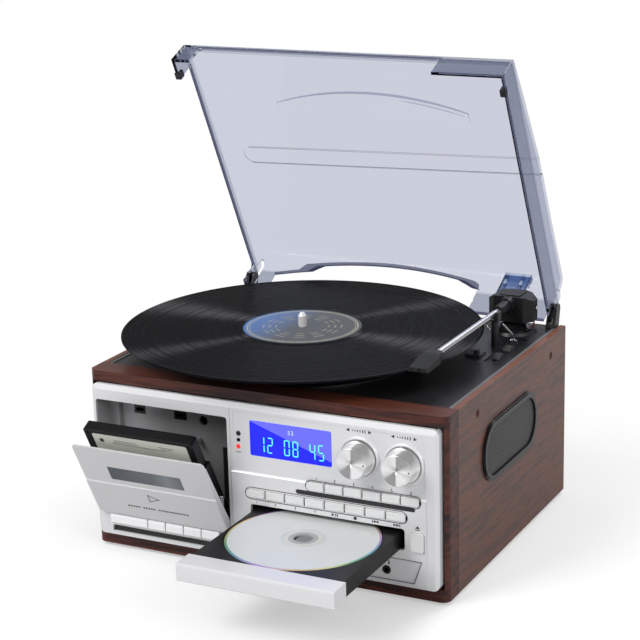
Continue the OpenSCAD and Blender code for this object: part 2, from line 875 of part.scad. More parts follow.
// all the cut-outs that go through the panel, [x, z]
module panel_holes() {
    // cassette opening, and the row of keys below it
    round_rect(well_x, well_z, 2.5);
    translate([key_edges[0] - slide_gap - 0.3, key_z[0] - slide_gap])
        square([key_edges[5] - key_edges[0] + 2 * slide_gap + 0.6, well_z[0] - key_z[0] + 4]);
    // display, lamp, eye and square
    round_rect(grow(display_x, 0.15), grow(display_z, 0.15), 1.6);
    translate(lamp_at)
        circle(1.9);
    translate(eye_at)
        circle(2.1);
    translate(square_at)
        square([3, 2.6], center = true);
    // knobs
    for (at = [tuning_at, volume_at])
        translate(at)
            circle(3 + fit);
    // button rows, tray mouth, open button, jacks
    capsule(grow(row1_x, slide_gap), grow(row1_z, slide_gap));
    capsule(grow(row2_x, slide_gap), grow(row2_z, slide_gap));
    round_rect(slot_x, slot_z, 2.5);
    round_rect(grow(open_x, slide_gap), grow(open_z, slide_gap), 1.8);
    for (x = jack_x)
        translate([x, jack_z])
            circle(jack_r + 0.15);
}

module front_panel() {
    wall = 1;  // wall that runs back from the panel's edge
    wall_y = 10;
    color("silver")
        at_origin()
            difference() {
                union() {
                    difference() {
                        front_plate(panel_y, wall_y)
                            round_rect([-panel_half, panel_half], [panel_z0, panel_z1], 5);
                        front_plate(panel_back, wall_y + 1)
                            round_rect([-panel_half + wall, panel_half - wall],
                                       [panel_z0 + wall, panel_z1 - wall], 3);
                    }
                    // raised part with bevelled upper and lower edges
                    side_plate(split_x, zone_r)
                        polygon([[panel_y + eps, 12.2], [raise_y, 13.2], [raise_y, step_z - 1.1],
                                 [panel_y + eps, step_z]]);
                    // seats behind the knobs
                    for (at = [tuning_at, volume_at])
                        y_cyl(at[0], [panel_back - eps, 3], at[1], 6, 6);
                    // pads that centre the panel in the frame
                    for (x = [-120, 0, 120]) {
                        block([x - 8, x + 8], [0, wall_y], [strip_bottom, panel_z0 + 1]);
                        block([x - 8, x + 8], [0, wall_y], [panel_z1 - 1, open_top]);
                    }
                }
                front_plate(raise_y - 1, panel_back + eps)
                    panel_holes();
                for (at = [tuning_at, volume_at])
                    y_cyl(at[0], [panel_y - 1, 4], at[1], 3 + fit, 3 + fit);
                // pockets in its back for the door's lugs
                for (x = lug_rooms)
                    block([x[0] + 0.5, x[1] - 0.5], [panel_y + 1.2, panel_back + eps], [23, 37]);
                // slanted side edges
                both_sides()
                    flat_plate(0, cab_h)
                        polygon([[panel_half - 3.4, panel_y - 1], [panel_half - 3.4, panel_y],
                                 [panel_half + eps, panel_y + 1.6], [panel_half + eps, panel_y - 1]]);
                // slanted upper edge
                side_plate(-half_w, half_w)
                    polygon([[panel_y - 1, panel_z1 - 4.6], [panel_y, panel_z1 - 4.6],
                             [panel_y + 1.6, panel_z1 + eps], [panel_y - 1, panel_z1 + eps]]);
                // sunk field round the display and the knobs
                front_plate(raise_y - 1, panel_y + 0.6)
                    round_rect([split_x + 2.6, zone_r - 1], [step_z + 0.2, panel_z1 - 7], 2);
                // dark bar between the button rows
                front_plate(raise_y - 1, raise_y + 0.5)
                    capsule(bar_x, bar_z);
                // sunk field of the jacks
                front_plate(raise_y - 1, panel_y + 0.1)
                    polygon([[84, 33.5], [139.3, 33.5], [133, 14.4], [78, 14.4]]);
                // dark slot under the keys
                front_plate(panel_y - 1, panel_y + 1.7)
                    round_rect([key_edges[0], key_edges[5]], [13.9, 19.3], 1);
                // upright line between the two sides
                front_plate(raise_y - 1, panel_y + 0.6)
                    translate([split_x - 0.5, panel_z0])
                        square([0.7, panel_z1 - panel_z0 - 6]);
            }
    // raised rings round the knobs
    color("silver")
        at_origin()
            for (at = [tuning_at, volume_at])
                translate([at[0], panel_y + 0.8, at[1]])
                    rotate([90, 0, 0])
                        rotate_extrude()
                            polygon([[ring_in, 0], [ring_r, 0], [ring_r, 1.3], [ring_r - 0.9, 2.2],
                                     [ring_in + 0.3, 2.2], [ring_in, 1.9]]);
}

module display_window() {
    color("blue")
        at_origin() {
            front_plate(panel_y + 0.5, panel_y + 2)
                round_rect(display_x, display_z, 1.5);
            // display module behind the window
            block(grow(display_x, 5), [panel_back + 0.1, panel_back + 6], grow(display_z, 4));
        }
}

// knob: spun cap, waist line and a skirt that sits in the panel's ring
module knob(at) {
    face = panel_y - knob_l;
    color("gainsboro")
        at_origin()
            translate([at[0], 0, at[1]])
                rotate([90, 0, 0])
                    rotate_extrude()
                        polygon([[0, -4], [3, -4], [3, -panel_y - 0.2], [skirt_r, -panel_y - 0.2],
                                 [skirt_r, -panel_y + 3], [skirt_r - 0.5, -panel_y + 3.5],
                                 [knob_r + 0.6, -panel_y + 3.5], [knob_r + 0.3, -panel_y + 4.2],
                                 [knob_r, -face - 0.8], [knob_r - 0.8, -face], [0, -face]]);
}

module tuning_knob() {
    knob(tuning_at);
}

module volume_knob() {
    knob(volume_at);
}

// one button of a row: its share of the row's capsule, with a ledge behind the panel
module row_button(i, n, x, z) {
    pitch = (x[1] - x[0]) / n;
    left = x[0] + i * pitch + (i == 0 ? 0 : button_gap / 2);
    right = x[0] + (i + 1) * pitch - (i == n - 1 ? 0 : button_gap / 2);
    bevel = 0.5;
    color("whitesmoke")
        at_origin() {
            intersection() {
                front_plate(button_face + bevel, panel_back + 0.6)
                    capsule(x, z);
                block([left, right], [button_face, 4], grow(z, 1));
            }
            // face with a narrower edge
            intersection() {
                front_plate(button_face, button_face + bevel + eps)
                    capsule(grow(x, -bevel), grow(z, -bevel));
                block([left + bevel, right - bevel], [button_face - 1, 4], grow(z, 1));
            }
            // ledge that keeps the button behind the panel
            block([left + 1.6, right - 1.6], [panel_back + 0.3, panel_back + 1.8], grow(z, 1.1));
        }
}

module function_button_1() { row_button(0, row1_n, row1_x, row1_z); }
module function_button_2() { row_button(1, row1_n, row1_x, row1_z); }
module function_button_3() { row_button(2, row1_n, row1_x, row1_z); }
module function_button_4() { row_button(3, row1_n, row1_x, row1_z); }
module function_button_5() { row_button(4, row1_n, row1_x, row1_z); }
module function_button_6() { row_button(5, row1_n, row1_x, row1_z); }
module transport_button_1() { row_button(0, row2_n, row2_x, row2_z); }
module transport_button_2() { row_button(1, row2_n, row2_x, row2_z); }
module transport_button_3() { row_button(2, row2_n, row2_x, row2_z); }
module transport_button_4() { row_button(3, row2_n, row2_x, row2_z); }
module transport_button_5() { row_button(4, row2_n, row2_x, row2_z); }
module transport_button_6() { row_button(5, row2_n, row2_x, row2_z); }
module transport_button_7() { row_button(6, row2_n, row2_x, row2_z); }
module transport_button_8() { row_button(7, row2_n, row2_x, row2_z); }

module open_button() {
    color("whitesmoke")
        at_origin() {
            front_plate(button_face, panel_back + 0.6)
                round_rect(open_x, open_z, 1.5);
            // ledge; it stays left of the panel's edge wall
            block(grow(open_x, -1.5), [panel_back + 0.3, panel_back + 1.8], grow(open_z, 1.1));
        }
}

// ---------------------------------------------------------------- cassette side

// one cassette key: a bar with a rounded front, a ledge behind and a stem
module cassette_key(i) {
    left = key_edges[i] + (i == 0 ? 0 : 0.6);
    right = key_edges[i + 1] - (i == 4 ? 0 : 0.6);
    top = key_z[1];
    ledge_y = panel_back + 0.3;
    color("whitesmoke")
        at_origin() {
            side_plate(left, right)
                polygon([[key_y, key_z[0] + 1.2], [key_y + 0.9, key_z[0]], [ledge_y + eps, key_z[0]],
                         [ledge_y + eps, top], [key_y + 2.2, top], [key_y + 0.7, top - 1], [key_y, top - 3]]);
            block([left + 1, right - 1], [ledge_y, 4], [key_z[0] - 1.2, key_z[1] - 2]);
            block([middle([left, right]) - 2, middle([left, right]) + 2], [3.9, 13], [23, 27]);
        }
}

module cassette_key_1() { cassette_key(0); }
module cassette_key_2() { cassette_key(1); }
module cassette_key_3() { cassette_key(2); }
module cassette_key_4() { cassette_key(3); }
module cassette_key_5() { cassette_key(4); }

// well behind the door: a case open to the front, with the heads, the hubs and the motor
module cassette_well() {
    wall = 2;
    outer_x = [well_x[0] - 2.4, well_x[1] + 2.4];
    top = well_z[1] + 2.6;
    floor_z = [well_z[0] + 0.4, well_z[0] + 2];
    color("darkgray")
        at_origin() {
            difference() {
                union() {
                    block(outer_x, [panel_back + 0.1, well_back], [floor_z[0], top]);
                    // cheeks that carry the door's pins
                    for (x = [[outer_x[0], well_x[0] - 0.5], [well_x[1] + 0.5, outer_x[1]]])
                        block(x, [panel_back + 0.1, 6], [22, floor_z[1]]);
                }
                block([well_x[0] - 0.5, well_x[1] + 0.5], [panel_back - eps, well_y], [floor_z[1], top - wall]);
                // gaps in the floor for the door's lugs
                for (x = lug_rooms)
                    block(x, [panel_back - eps, 7], [floor_z[0] - 1, floor_z[1] + 1]);
                x_cyl([outer_x[0] - 1, outer_x[1] + 1], pivot_y, pivot_z, pivot_r + fit);
                // two slots, a round hole and an upright slot in the back wall
                front_plate(well_y - 1, well_back + eps) {
                    capsule([-127, -119], [112.4, 115.6]);
                    capsule([-89, -80], [112, 115]);
                    translate([-63.3, 112])
                        circle(4);
                    round_rect([-41.5, -37.5], [84, 105], 1);
                }
            }
            // hubs with pointed tips and three ribs
            for (s = [-1, 1])
                translate([door_c + s * hub_dx, 0, hub_z]) {
                    y_cyl(0, [11, well_y + eps], 0, 2.3, 2.3);
                    y_cyl(0, [8, 11 + eps], 0, 1, 2.3);
                }
            // heads and pinch roller below the cassette
            block([door_c - 9, door_c + 9], [9, well_y + eps], [44, 57]);
            block([door_c - 30, door_c - 18], [11, well_y + eps], [46, 56]);
            y_cyl(door_c + 26, [9, well_y + eps], 51, 6, 6);
            // recessed rib along the left wall
            block([well_x[0] - 0.6, well_x[0] + 9], [tape_y + tape_t + 2.5, well_y + eps], [60, 122]);
            // motor and flywheel behind the well
            y_cyl(door_c - 30, [well_back - eps, well_back + 24], 60, 16, 16);
            y_cyl(door_c + 22, [well_back - eps, well_back + 6], 70, 26, 26);
        }
}

// turns a piece from the closed door's place to where the open door stands
module at_door() {
    at_origin()
        translate([0, pivot_y, pivot_z])
            rotate([door_open, 0, 0])
                translate([0, -pivot_y, -pivot_z])
                    children();
}

door_x = [door_c - door_w / 2, door_c + door_w / 2];
door_t = 2.4;
door_top = door_foot + door_h;
door_step = door_foot + 37.3;
window_x = [door_c - 34, door_c + 34];
window_z = [door_foot + 43.2, door_foot + 58];

module door() {
    color("silver")
        at_door()
            difference() {
                union() {
                    // face: its lower half stands forward of the upper half
                    difference() {
                        front_plate(door_y, door_y + door_t)
                            round_rect(door_x, [door_foot, door_top], 3);
                        side_plate(door_x[0] - 1, door_x[1] + 1)
                            polygon([[door_y - 1, door_step + 1.6], [door_y, door_step], [door_y + 0.7, door_step + 1],
                                     [door_y + 0.7, door_top + 1], [door_y - 1, door_top + 1]]);
                    }
                    // slanted cheeks and the lugs down to the pins
                    for (x = [[door_x[0], door_x[0] + 2], [door_x[1] - 2, door_x[1]]])
                        side_plate(x[0], x[1])
                            polygon([[door_y + 1, door_foot + 1], [door_y + 8, door_foot + 3],
                                     [door_y + 6, door_foot + 30], [door_y + 3.4, door_top - 6],
                                     [door_y + 1, door_top - 3]]);
                    for (x = [[door_x[0] + 0.9, door_x[0] + lug_w], [door_x[1] - lug_w, door_x[1] - 0.9]])
                        side_plate(x[0], x[1]) {
                            translate([pivot_y, pivot_z])
                                circle(2.9);
                            polygon([[pivot_y - 2.2, pivot_z + 1.6], [pivot_y + 2.8, pivot_z + 0.8],
                                     [pivot_y + 2.8, door_foot + 4], [door_y + 1, door_foot + 4],
                                     [door_y + 1, door_foot + 1], [pivot_y - 2.2, pivot_z + 5.8]]);
                        }
                    // pins
                    x_cyl([well_x[0] - 2.2, door_x[0] + lug_w], pivot_y, pivot_z, pivot_r);
                    x_cyl([door_x[1] - lug_w, well_x[1] + 2.2], pivot_y, pivot_z, pivot_r);
                }
                // window opening
                front_plate(door_y - 1, door_y + door_t + 1)
                    round_rect(window_x, window_z, 1.2);
            }
}

module door_window() {
    color("dimgray", 0.6)
        at_door()
            front_plate(door_y + 0.9, door_y + door_t - 0.1)
                round_rect(grow(window_x, -0.1), grow(window_z, -0.1), 1.1);
}

// pocket behind the door: two channels and a floor that hold the cassette by its edges
module cassette_holder() {
    inside = tape_w / 2 + 0.4;
    front = tape_y - 0.4;
    back = tape_y + tape_t + 0.4;
    color("#202022")
        at_door() {
            for (s = [-1, 1])
                translate([door_c, 0, 0])
                    mirror([s < 0 ? 1 : 0, 0, 0])
                        flat_plate(tape_z - 20, tape_z + 34)
                            polygon([[inside - 4, front], [inside - 4, front - 1.6], [inside + 2, front - 1.6],
                                     [inside + 2, back + 1.6], [inside - 5, back + 1.6], [inside - 5, back],
                                     [inside, back], [inside, front]]);
            // floor, and the ribs that tie the pocket to the door
            block([door_c - inside - 1, door_c + inside + 1], [front - 1.6, back + 1.6], [tape_z - 2, tape_z - 0.2]);
            for (x = [-46, 0, 46])
                block([door_c + x - 1.5, door_c + x + 1.5], [door_y + door_t, front - 1.5],
                      [tape_z - 12, tape_z + 6]);
            block([door_c - inside - 1, door_c + inside + 1], [front - 1.6, front], [tape_z - 12, tape_z]);
        }
}

// cassette: flat shell with a thicker head end, a sunk label with a window, and two toothed hubs
module cassette() {
    x0 = door_c - tape_w / 2;
    mid = tape_y + tape_t / 2;
    color("#1c1c1e")
        at_door()
            difference() {
                union() {
                    front_plate(tape_y, tape_y + tape_t)
                        round_rect([x0, x0 + tape_w], [tape_z, tape_z + tape_h], 2.4);
                    front_plate(mid - tape_thick / 2, mid + tape_thick / 2)
                        polygon([[door_c - 36, tape_z + 0.4], [door_c + 36, tape_z + 0.4],
                                 [door_c + 33, tape_z + 16], [door_c - 33, tape_z + 16]]);
                }
                // label field on the front, and the window in its middle
                front_plate(tape_y - 1, tape_y + 0.4)
                    round_rect([x0 + 6, x0 + tape_w - 6], [tape_z + 19, tape_z + tape_h - 4], 2);
                front_plate(tape_y - 1, tape_y + 0.9)
                    round_rect([door_c - 11, door_c + 11], [hub_z - 4.5, hub_z + 4.5], 1);
                // hub holes, guide holes and screw holes
                for (s = [-1, 1]) {
                    y_cyl(door_c + s * hub_dx, [tape_y - 1, tape_y + tape_t + 1], hub_z, hub_r, hub_r);
                    y_cyl(door_c + s * 23, [tape_y - 4, tape_y + tape_t + 4], tape_z + 6, 2.4, 2.4);
                    for (dz = [4, tape_h - 4])
                        y_cyl(door_c + s * (tape_w / 2 - 3.6), [tape_y - 1, tape_y + 0.6], tape_z + dz, 1.3, 1.3);
                }
            }
    // hubs
    color("white")
        at_door()
            for (s = [-1, 1])
                translate([door_c + s * hub_dx, 0, hub_z]) {
                    difference() {
                        y_cyl(0, [tape_y + 0.5, tape_y + tape_t - 0.5], 0, hub_r - 0.1, hub_r - 0.1);
                        y_cyl(0, [tape_y, tape_y + tape_t], 0, hub_r - 0.9, hub_r - 0.9);
                    }
                    for (turn = [0:60:300])
                        rotate([0, turn, 0])
                            translate([3.4, tape_y + 1, -0.35])
                                cube([1, 5, 0.7]);
                }
}

// ---------------------------------------------------------------- disc tray

// moves a piece from the closed tray's place to where the tray stands
module at_tray() {
    at_origin()
        translate([0, -tray_out, 0])
            children();
}

module tray() {
    rail = 6;
    color("#2e3033")
        at_tray()
            difference() {
                block(tray_x, tray_y, tray_z);
                // hollow between the two rails, below the plate
                block([tray_x[0] + rail, tray_x[1] - rail], grow(tray_y, 1), [tray_z[0] - 1, tray_z[1] - 4.4]);
                // seat of the disc, with a deeper seat for a small disc
                translate([disc_at[0], disc_at[1], disc_z - 0.3])
                    cylinder(h = 5, r = disc_r + 0.8);
                translate([disc_at[0], disc_at[1], disc_z - 1])
                    cylinder(h = 5, r = 40.5);
                // opening for the spindle and the pickup
                flat_plate(tray_z[0] - 1, tray_z[1] + 1)
                    round_rect([disc_at[0] - 9, disc_at[0] + 9], [disc_at[1] - 12, disc_at[1] + 48], 5);
            }
}

module tray_front() {
    z = [tray_z[0], 55];
    color("white")
        at_tray()
            side_plate(tray_front_x[0], tray_front_x[1])
                polygon([[tray_front_y, z[0] + 0.8], [tray_front_y + 0.8, z[0]],
                         [tray_front_y + tray_front_d, z[0]], [tray_front_y + tray_front_d, z[1]],
                         [tray_front_y + 1.6, z[1]], [tray_front_y + 0.4, z[1] - 0.6],
                         [tray_front_y, z[1] - 1.8]]);
}

// disc with its stacking ring and centre hole
module disc() {
    hole_r = 7.5;
    color("gainsboro")
        at_tray()
            translate([disc_at[0], disc_at[1], disc_z])
                rotate_extrude($fn = 144)
                    polygon([[hole_r, 0], [disc_r - 0.2, 0], [disc_r, 0.3], [disc_r, disc_t - 0.3],
                             [disc_r - 0.2, disc_t], [17.6, disc_t], [17.2, disc_t + 0.2],
                             [16.4, disc_t + 0.2], [16, disc_t], [hole_r, disc_t]]);
}

// case that the tray runs in, with the spindle motor below it
module disc_drive() {
    wall = 2.2;
    color("gray")
        at_origin() {
            difference() {
                block(drive_x, [panel_back + 0.1, drive_end], drive_z);
                block([tray_x[0] - 3.6, tray_x[1] + 3.6], [panel_back - eps, drive_end - wall],
                      [slot_z[0] + 0.1, slot_z[1] + 0.9]);
                flat_plate(drive_z[1] - wall - 2, drive_z[1] + 1)
                    round_rect([disc_at[0] - 20, disc_at[0] + 20], [60, 110], 6);
            }
            translate([disc_at[0], disc_at[1], drive_z[0] - 9])
                cylinder(h = 9.1, r = 13);
            // guide wheels under the rails
            block([disc_at[0] - 40, disc_at[0] + 40], [100, 118], [drive_z[0] - 5, drive_z[0] + 0.1]);
        }
}

// ---------------------------------------------------------------- inside and behind

module electronics() {
    board_y = 9;
    color("darkgreen")
        at_origin() {
            // control board behind the panel, with the seats of the two knob shafts
            difference() {
                block([-18, 146], [board_y, board_y + 1.6], [64, 134]);
                for (at = [tuning_at, volume_at])
                    y_cyl(at[0], [board_y - 1, board_y + 3], at[1], 3.4, 3.4);
            }
            for (at = [tuning_at, volume_at])
                difference() {
                    y_cyl(at[0], [4.5, board_y + 0.1], at[1], 8, 8);
                    y_cyl(at[0], [4, board_y + 0.2], at[1], 3.4, 3.4);
                }
            // main board on its posts, with its heat sink, capacitors and transformer
            translate([0, cab_d - back_t, 0]) {
                block([-60, 130], [-86, -8], [17, 18.6]);
                for (x = [-54, 124], y = [-80, -14])
                    translate([x, y, board_t])
                        cylinder(h = 8.1, r = 3);
                for (i = [0:5])
                    block([-40 + 7 * i, -37 + 7 * i], [-74, -42], [18.5, 44]);
                block([-40, -2], [-74, -42], [18.5, 21]);
                for (x = [20, 42, 64])
                    translate([x, -62, 18.5])
                        cylinder(h = 26, r = 8);
                block([-135, -85], [-80, -38], [board_t, board_t + 42]);
                block([-128, -92], [-88, -30], [board_t, board_t + 34]);
            }
        }
    // lamp, eye and square mark behind the panel's small holes
    color("red")
        at_origin() {
            y_cyl(lamp_at[0], [panel_y + 0.7, 5], lamp_at[1], 1.7, 1.7);
            y_cyl(eye_at[0], [panel_y + 0.7, 5], eye_at[1], 1.9, 1.9);
            block([square_at[0] - 1.3, square_at[0] + 1.3], [panel_y + 0.7, 5],
                  [square_at[1] - 1.1, square_at[1] + 1.1]);
            // holder that carries the three on the control board
            block([-20.6, -14.6], [4.9, board_y + 0.1], [100, 119]);
        }
}

module sockets() {
    phono_x = [34, 48];  // pair of line sockets
    phono_z = 46;
    aerial_x = 66;
    inlet_x = [84, 112];
    plate_y = [cab_d - back_t + 1, cab_d + 0.8];
    color("#29292b")
        at_origin() {
            // front jacks
            for (x = jack_x)
                difference() {
                    union() {
                        y_cyl(x, [panel_y - 0.3, panel_back + 0.6], jack_z, jack_r, jack_r);
                        y_cyl(x, [panel_back + 0.1, 12], jack_z, 5, 5);
                    }
                    y_cyl(x, [panel_y - 1, 10], jack_z, plug_r, plug_r);
                }
            // rear plate with its sockets
            difference() {
                union() {
                    front_plate(plate_y[0], plate_y[1] - 0.8)
                        round_rect([20.2, 121.8], [30.2, 61.8], 2.9);
                    front_plate(cab_d, plate_y[1])
                        round_rect([18, 124], [28, 64], 3);
                    for (x = phono_x)
                        y_cyl(x, [cab_d, cab_d + 9], phono_z, 4.15, 4.15);
                    y_cyl(aerial_x, [cab_d, cab_d + 3], phono_z, 5, 5);
                }
                for (x = phono_x)
                    y_cyl(x, [cab_d - 4, cab_d + 10], phono_z, 1.65, 1.65);
                y_cyl(aerial_x, [cab_d - 4, cab_d + 4], phono_z, 1.3, 1.3);
                front_plate(cab_d - 2, cab_d + 1)
                    capsule(inlet_x, [phono_z - 5, phono_z + 5]);
            }
            // pins of the inlet
            for (x = [inlet_x[0] + 9, inlet_x[1] - 9])
                y_cyl(x, [cab_d - 2.1, cab_d + 0.5], phono_z, 1.2, 1.2);
        }
}

// bezels and their meshes on both side boards
module speaker_grilles() {
    inner_y = grow(speaker_y, -bezel_ring);
    inner_z = grow(speaker_z, -bezel_ring);
    inner_r = speaker_r - bezel_ring;
    color("#1a1a1c")
        at_origin()
            both_sides() {
                difference() {
                    union() {
                        side_plate(half_w, half_w + 1.7)
                            round_rect(speaker_y, speaker_z, speaker_r);
                        side_plate(half_w + 1.6, half_w + 2.5)
                            round_rect(grow(speaker_y, -1.4), grow(speaker_z, -1.4), speaker_r - 1.4);
                        side_plate(half_w - 6, half_w + eps)
                            round_rect(grow(speaker_y, -4.2), grow(speaker_z, -4.2), speaker_r - 4.2);
                    }
                    side_plate(half_w - 7, half_w + 3)
                        round_rect(inner_y, inner_z, inner_r);
                }
                side_plate(half_w - 2.2, half_w - 0.8)
                    round_rect(grow(inner_y, 0.2), grow(inner_z, 0.2), inner_r + 0.2);
            }
}

module speaker_drivers() {
    cone_r = 21;
    y = middle(speaker_y);
    z = middle(speaker_z);
    color("#38383a")
        at_origin()
            both_sides()
                translate([half_w - 6.3, y, z])
                    rotate([0, -90, 0])
                        rotate_extrude()
                            polygon([[6, 4], [cone_r - 3, 0], [cone_r, 0], [cone_r, 2], [cone_r - 4, 3],
                                     [12, 12], [16, 12], [16, 20], [0, 20], [0, 2], [5, 2]]);
}

front_frame();
side_left();
side_right();
back_panel();
bottom_board();
feet();
side_screws();
deck();
front_panel();
display_window();
cassette_well();
disc_drive();
platter_motor();
drive_belt();
electronics();
sockets();
speaker_grilles();
speaker_drivers();
hinge_brackets();
platter();
record();
motor_pulley();
arm_turret();
arm_block();
arm_tube();
headshell();
cue_lever();
speed_switch();
autostop_switch();
dust_cover();
cover_bumpers();
tuning_knob();
volume_knob();
function_button_1();
function_button_2();
function_button_3();
function_button_4();
function_button_5();
function_button_6();
transport_button_1();
transport_button_2();
transport_button_3();
transport_button_4();
transport_button_5();
transport_button_6();
transport_button_7();
transport_button_8();
cassette_key_1();
cassette_key_2();
cassette_key_3();
cassette_key_4();
cassette_key_5();
open_button();
door();
door_window();
cassette_holder();
cassette();
tray();
tray_front();
disc();
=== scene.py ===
import json
import math

import bmesh
import bpy
import numpy as np
from mathutils import Matrix, Vector


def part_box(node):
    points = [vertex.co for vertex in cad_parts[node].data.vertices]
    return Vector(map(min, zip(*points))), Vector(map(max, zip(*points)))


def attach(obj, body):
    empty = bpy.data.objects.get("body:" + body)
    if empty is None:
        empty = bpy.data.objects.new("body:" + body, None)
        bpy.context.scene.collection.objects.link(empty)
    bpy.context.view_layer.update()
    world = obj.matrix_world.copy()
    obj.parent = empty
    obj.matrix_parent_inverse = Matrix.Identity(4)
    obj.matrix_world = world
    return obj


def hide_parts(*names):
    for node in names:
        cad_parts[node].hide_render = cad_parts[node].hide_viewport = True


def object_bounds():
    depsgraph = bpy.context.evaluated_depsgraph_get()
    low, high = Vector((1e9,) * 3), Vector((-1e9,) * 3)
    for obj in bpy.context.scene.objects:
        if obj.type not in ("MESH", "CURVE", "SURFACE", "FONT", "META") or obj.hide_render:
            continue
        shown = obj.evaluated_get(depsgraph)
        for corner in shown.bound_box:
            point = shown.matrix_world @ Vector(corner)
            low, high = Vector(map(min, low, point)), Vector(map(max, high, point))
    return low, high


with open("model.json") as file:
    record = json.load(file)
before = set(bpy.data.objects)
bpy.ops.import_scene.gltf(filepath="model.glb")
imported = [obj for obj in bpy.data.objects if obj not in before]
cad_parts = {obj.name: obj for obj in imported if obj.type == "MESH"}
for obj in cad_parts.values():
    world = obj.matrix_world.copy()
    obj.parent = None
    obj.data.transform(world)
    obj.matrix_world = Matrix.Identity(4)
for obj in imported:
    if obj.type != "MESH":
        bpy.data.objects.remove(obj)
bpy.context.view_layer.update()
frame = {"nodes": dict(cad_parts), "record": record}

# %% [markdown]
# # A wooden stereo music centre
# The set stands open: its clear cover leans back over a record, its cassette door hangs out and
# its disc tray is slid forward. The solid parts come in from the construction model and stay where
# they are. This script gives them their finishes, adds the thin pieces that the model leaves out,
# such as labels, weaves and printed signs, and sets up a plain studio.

MM = 0.001

# %% [markdown]
# ## Working in the cabinet's own millimetres
# Sizes are easiest to read from the cabinet: X = 0 is its middle, Y = 0 the front of the wood and
# Z = 0 its underside. The wooden front frame marks all three, so its box gives the offset to the
# scene. Pieces on the door and the tray are drawn as if these were shut, and are then turned or
# slid to where they stand, by the same joints that move them.

# %% Places
FRAME_LOW, FRAME_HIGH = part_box("front_frame")
ORIGIN = np.array([(FRAME_LOW.x + FRAME_HIGH.x) / 2, FRAME_LOW.y, FRAME_LOW.z])
JOINTS = {joint["name"]: joint for joint in frame["record"]["behaviour"]["joints"]}
DOOR_LEAN = math.radians(-JOINTS["door_hinge"]["range_deg"][0])
COVER_LEAN = math.radians(-JOINTS["cover_hinge"]["range_deg"][0])
TRAY_OUT = -JOINTS["tray_slide"]["range_m"][0]


def on_cabinet(points):
    """Cabinet millimetres to scene metres: scaled by a thousandth, then shifted by the origin."""
    return np.asarray(points, float) * MM + ORIGIN


def turned(points, joint, angle):
    """Turns scene points round a joint that lies along X: y and z mix by the angle's sine and cosine."""
    centre = np.array(JOINTS[joint]["pos_m"])
    offset = points - centre
    c, s = math.cos(angle), math.sin(angle)
    y = offset[..., 1] * c - offset[..., 2] * s
    z = offset[..., 1] * s + offset[..., 2] * c
    return np.stack([offset[..., 0], y, z], axis=-1) + centre


def on_door(points):
    """Points drawn on the shut door, in cabinet millimetres, leaned out with the door."""
    return turned(on_cabinet(points), "door_hinge", DOOR_LEAN)


def on_tray(points):
    """Points drawn on the shut tray, slid out with it along -Y."""
    return on_cabinet(points) - np.array([0.0, TRAY_OUT, 0.0])


print("door leans", round(math.degrees(DOOR_LEAN), 1), "cover leans", round(math.degrees(COVER_LEAN), 1))

# %% [markdown]
# ## Surfaces from numbers
# Every new piece is an array of points. A surface is a grid of points over two parameters; a plate
# is an outline with a front, a back and a wall between them; a wire is a circle carried along a
# path. The helpers below only join such points into faces.

# %% Points joined into a mesh
def make_piece(name, points, faces, body, material, smooth=True):
    """Makes a mesh object from scene points and faces, gives it its material and lets it ride on a body."""
    mesh = bpy.data.meshes.new(name)
    mesh.from_pydata(np.asarray(points, float).reshape(-1, 3).tolist(), [], faces)
    mesh.polygons.foreach_set("use_smooth", np.full(len(mesh.polygons), smooth))
    mesh.materials.append(material)
    mesh.update()
    piece = bpy.data.objects.new(name, mesh)
    bpy.context.collection.objects.link(piece)
    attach(piece, body)
    return piece


def grid_faces(rows, columns, wrap_rows=False, wrap_columns=False):
    """Quads between neighbours of a grid; a wrapped direction joins its last line to its first."""
    i = np.arange(rows if wrap_rows else rows - 1)
    j = np.arange(columns if wrap_columns else columns - 1)
    i, j = np.meshgrid(i, j, indexing="ij")
    nexti, nextj = (i + 1) % rows, (j + 1) % columns
    quads = np.stack([i * columns + j, nexti * columns + j, nexti * columns + nextj, i * columns + nextj], -1)
    return quads.reshape(-1, 4).tolist()


print("a grid of 3 by 4 points has", len(grid_faces(3, 4)), "faces")

# %% Turned pieces
def spun(profile, steps):
    """A profile of (radius, height) turned round Z: x = r cos a, y = r sin a, z = height."""
    angle = np.linspace(0, 2 * np.pi, steps, endpoint=False)
    radius, height = np.asarray(profile, float).T
    x = np.outer(np.cos(angle), radius)
    y = np.outer(np.sin(angle), radius)
    z = np.broadcast_to(height, x.shape)
    return np.stack([x, y, z], -1)


def spun_piece(name, profile, place, body, material, steps, smooth=True):
    """A turned piece; its profile is a closed loop, so that the mesh closes on itself."""
    points = spun(profile, steps)
    faces = grid_faces(steps, len(profile), wrap_rows=True, wrap_columns=True)
    return make_piece(name, place(points), faces, body, material, smooth)


print("two points turned in eight steps make a grid of", spun([(1, 0), (2, 0)], 8).shape[:2])

# %% Outlines
def arc(centre, radius, start, end, steps):
    """Points on a circle's arc between two angles in degrees."""
    angle = np.radians(np.linspace(start, end, steps))
    return np.stack([centre[0] + radius * np.cos(angle), centre[1] + radius * np.sin(angle)], -1)


def round_box(x, y, radius, steps=7):
    """Outline of a rectangle with round corners: four quarter arcs, one after another."""
    low, high = (x[0] + radius, y[0] + radius), (x[1] - radius, y[1] - radius)
    corners = [(high[0], high[1], 0), (low[0], high[1], 90), (low[0], low[1], 180), (high[0], low[1], 270)]
    return np.concatenate([arc((cx, cy), radius, a, a + 90, steps) for cx, cy, a in corners])


print("a rectangle with round corners has", len(round_box((0, 10), (0, 5), 1)), "points")

# %% Plates
def turn_outwards(piece):
    """Points every face away from the inside of its closed shell."""
    work = bmesh.new()
    work.from_mesh(piece.data)
    bmesh.ops.recalc_face_normals(work, faces=work.faces)
    work.to_mesh(piece.data)
    work.free()


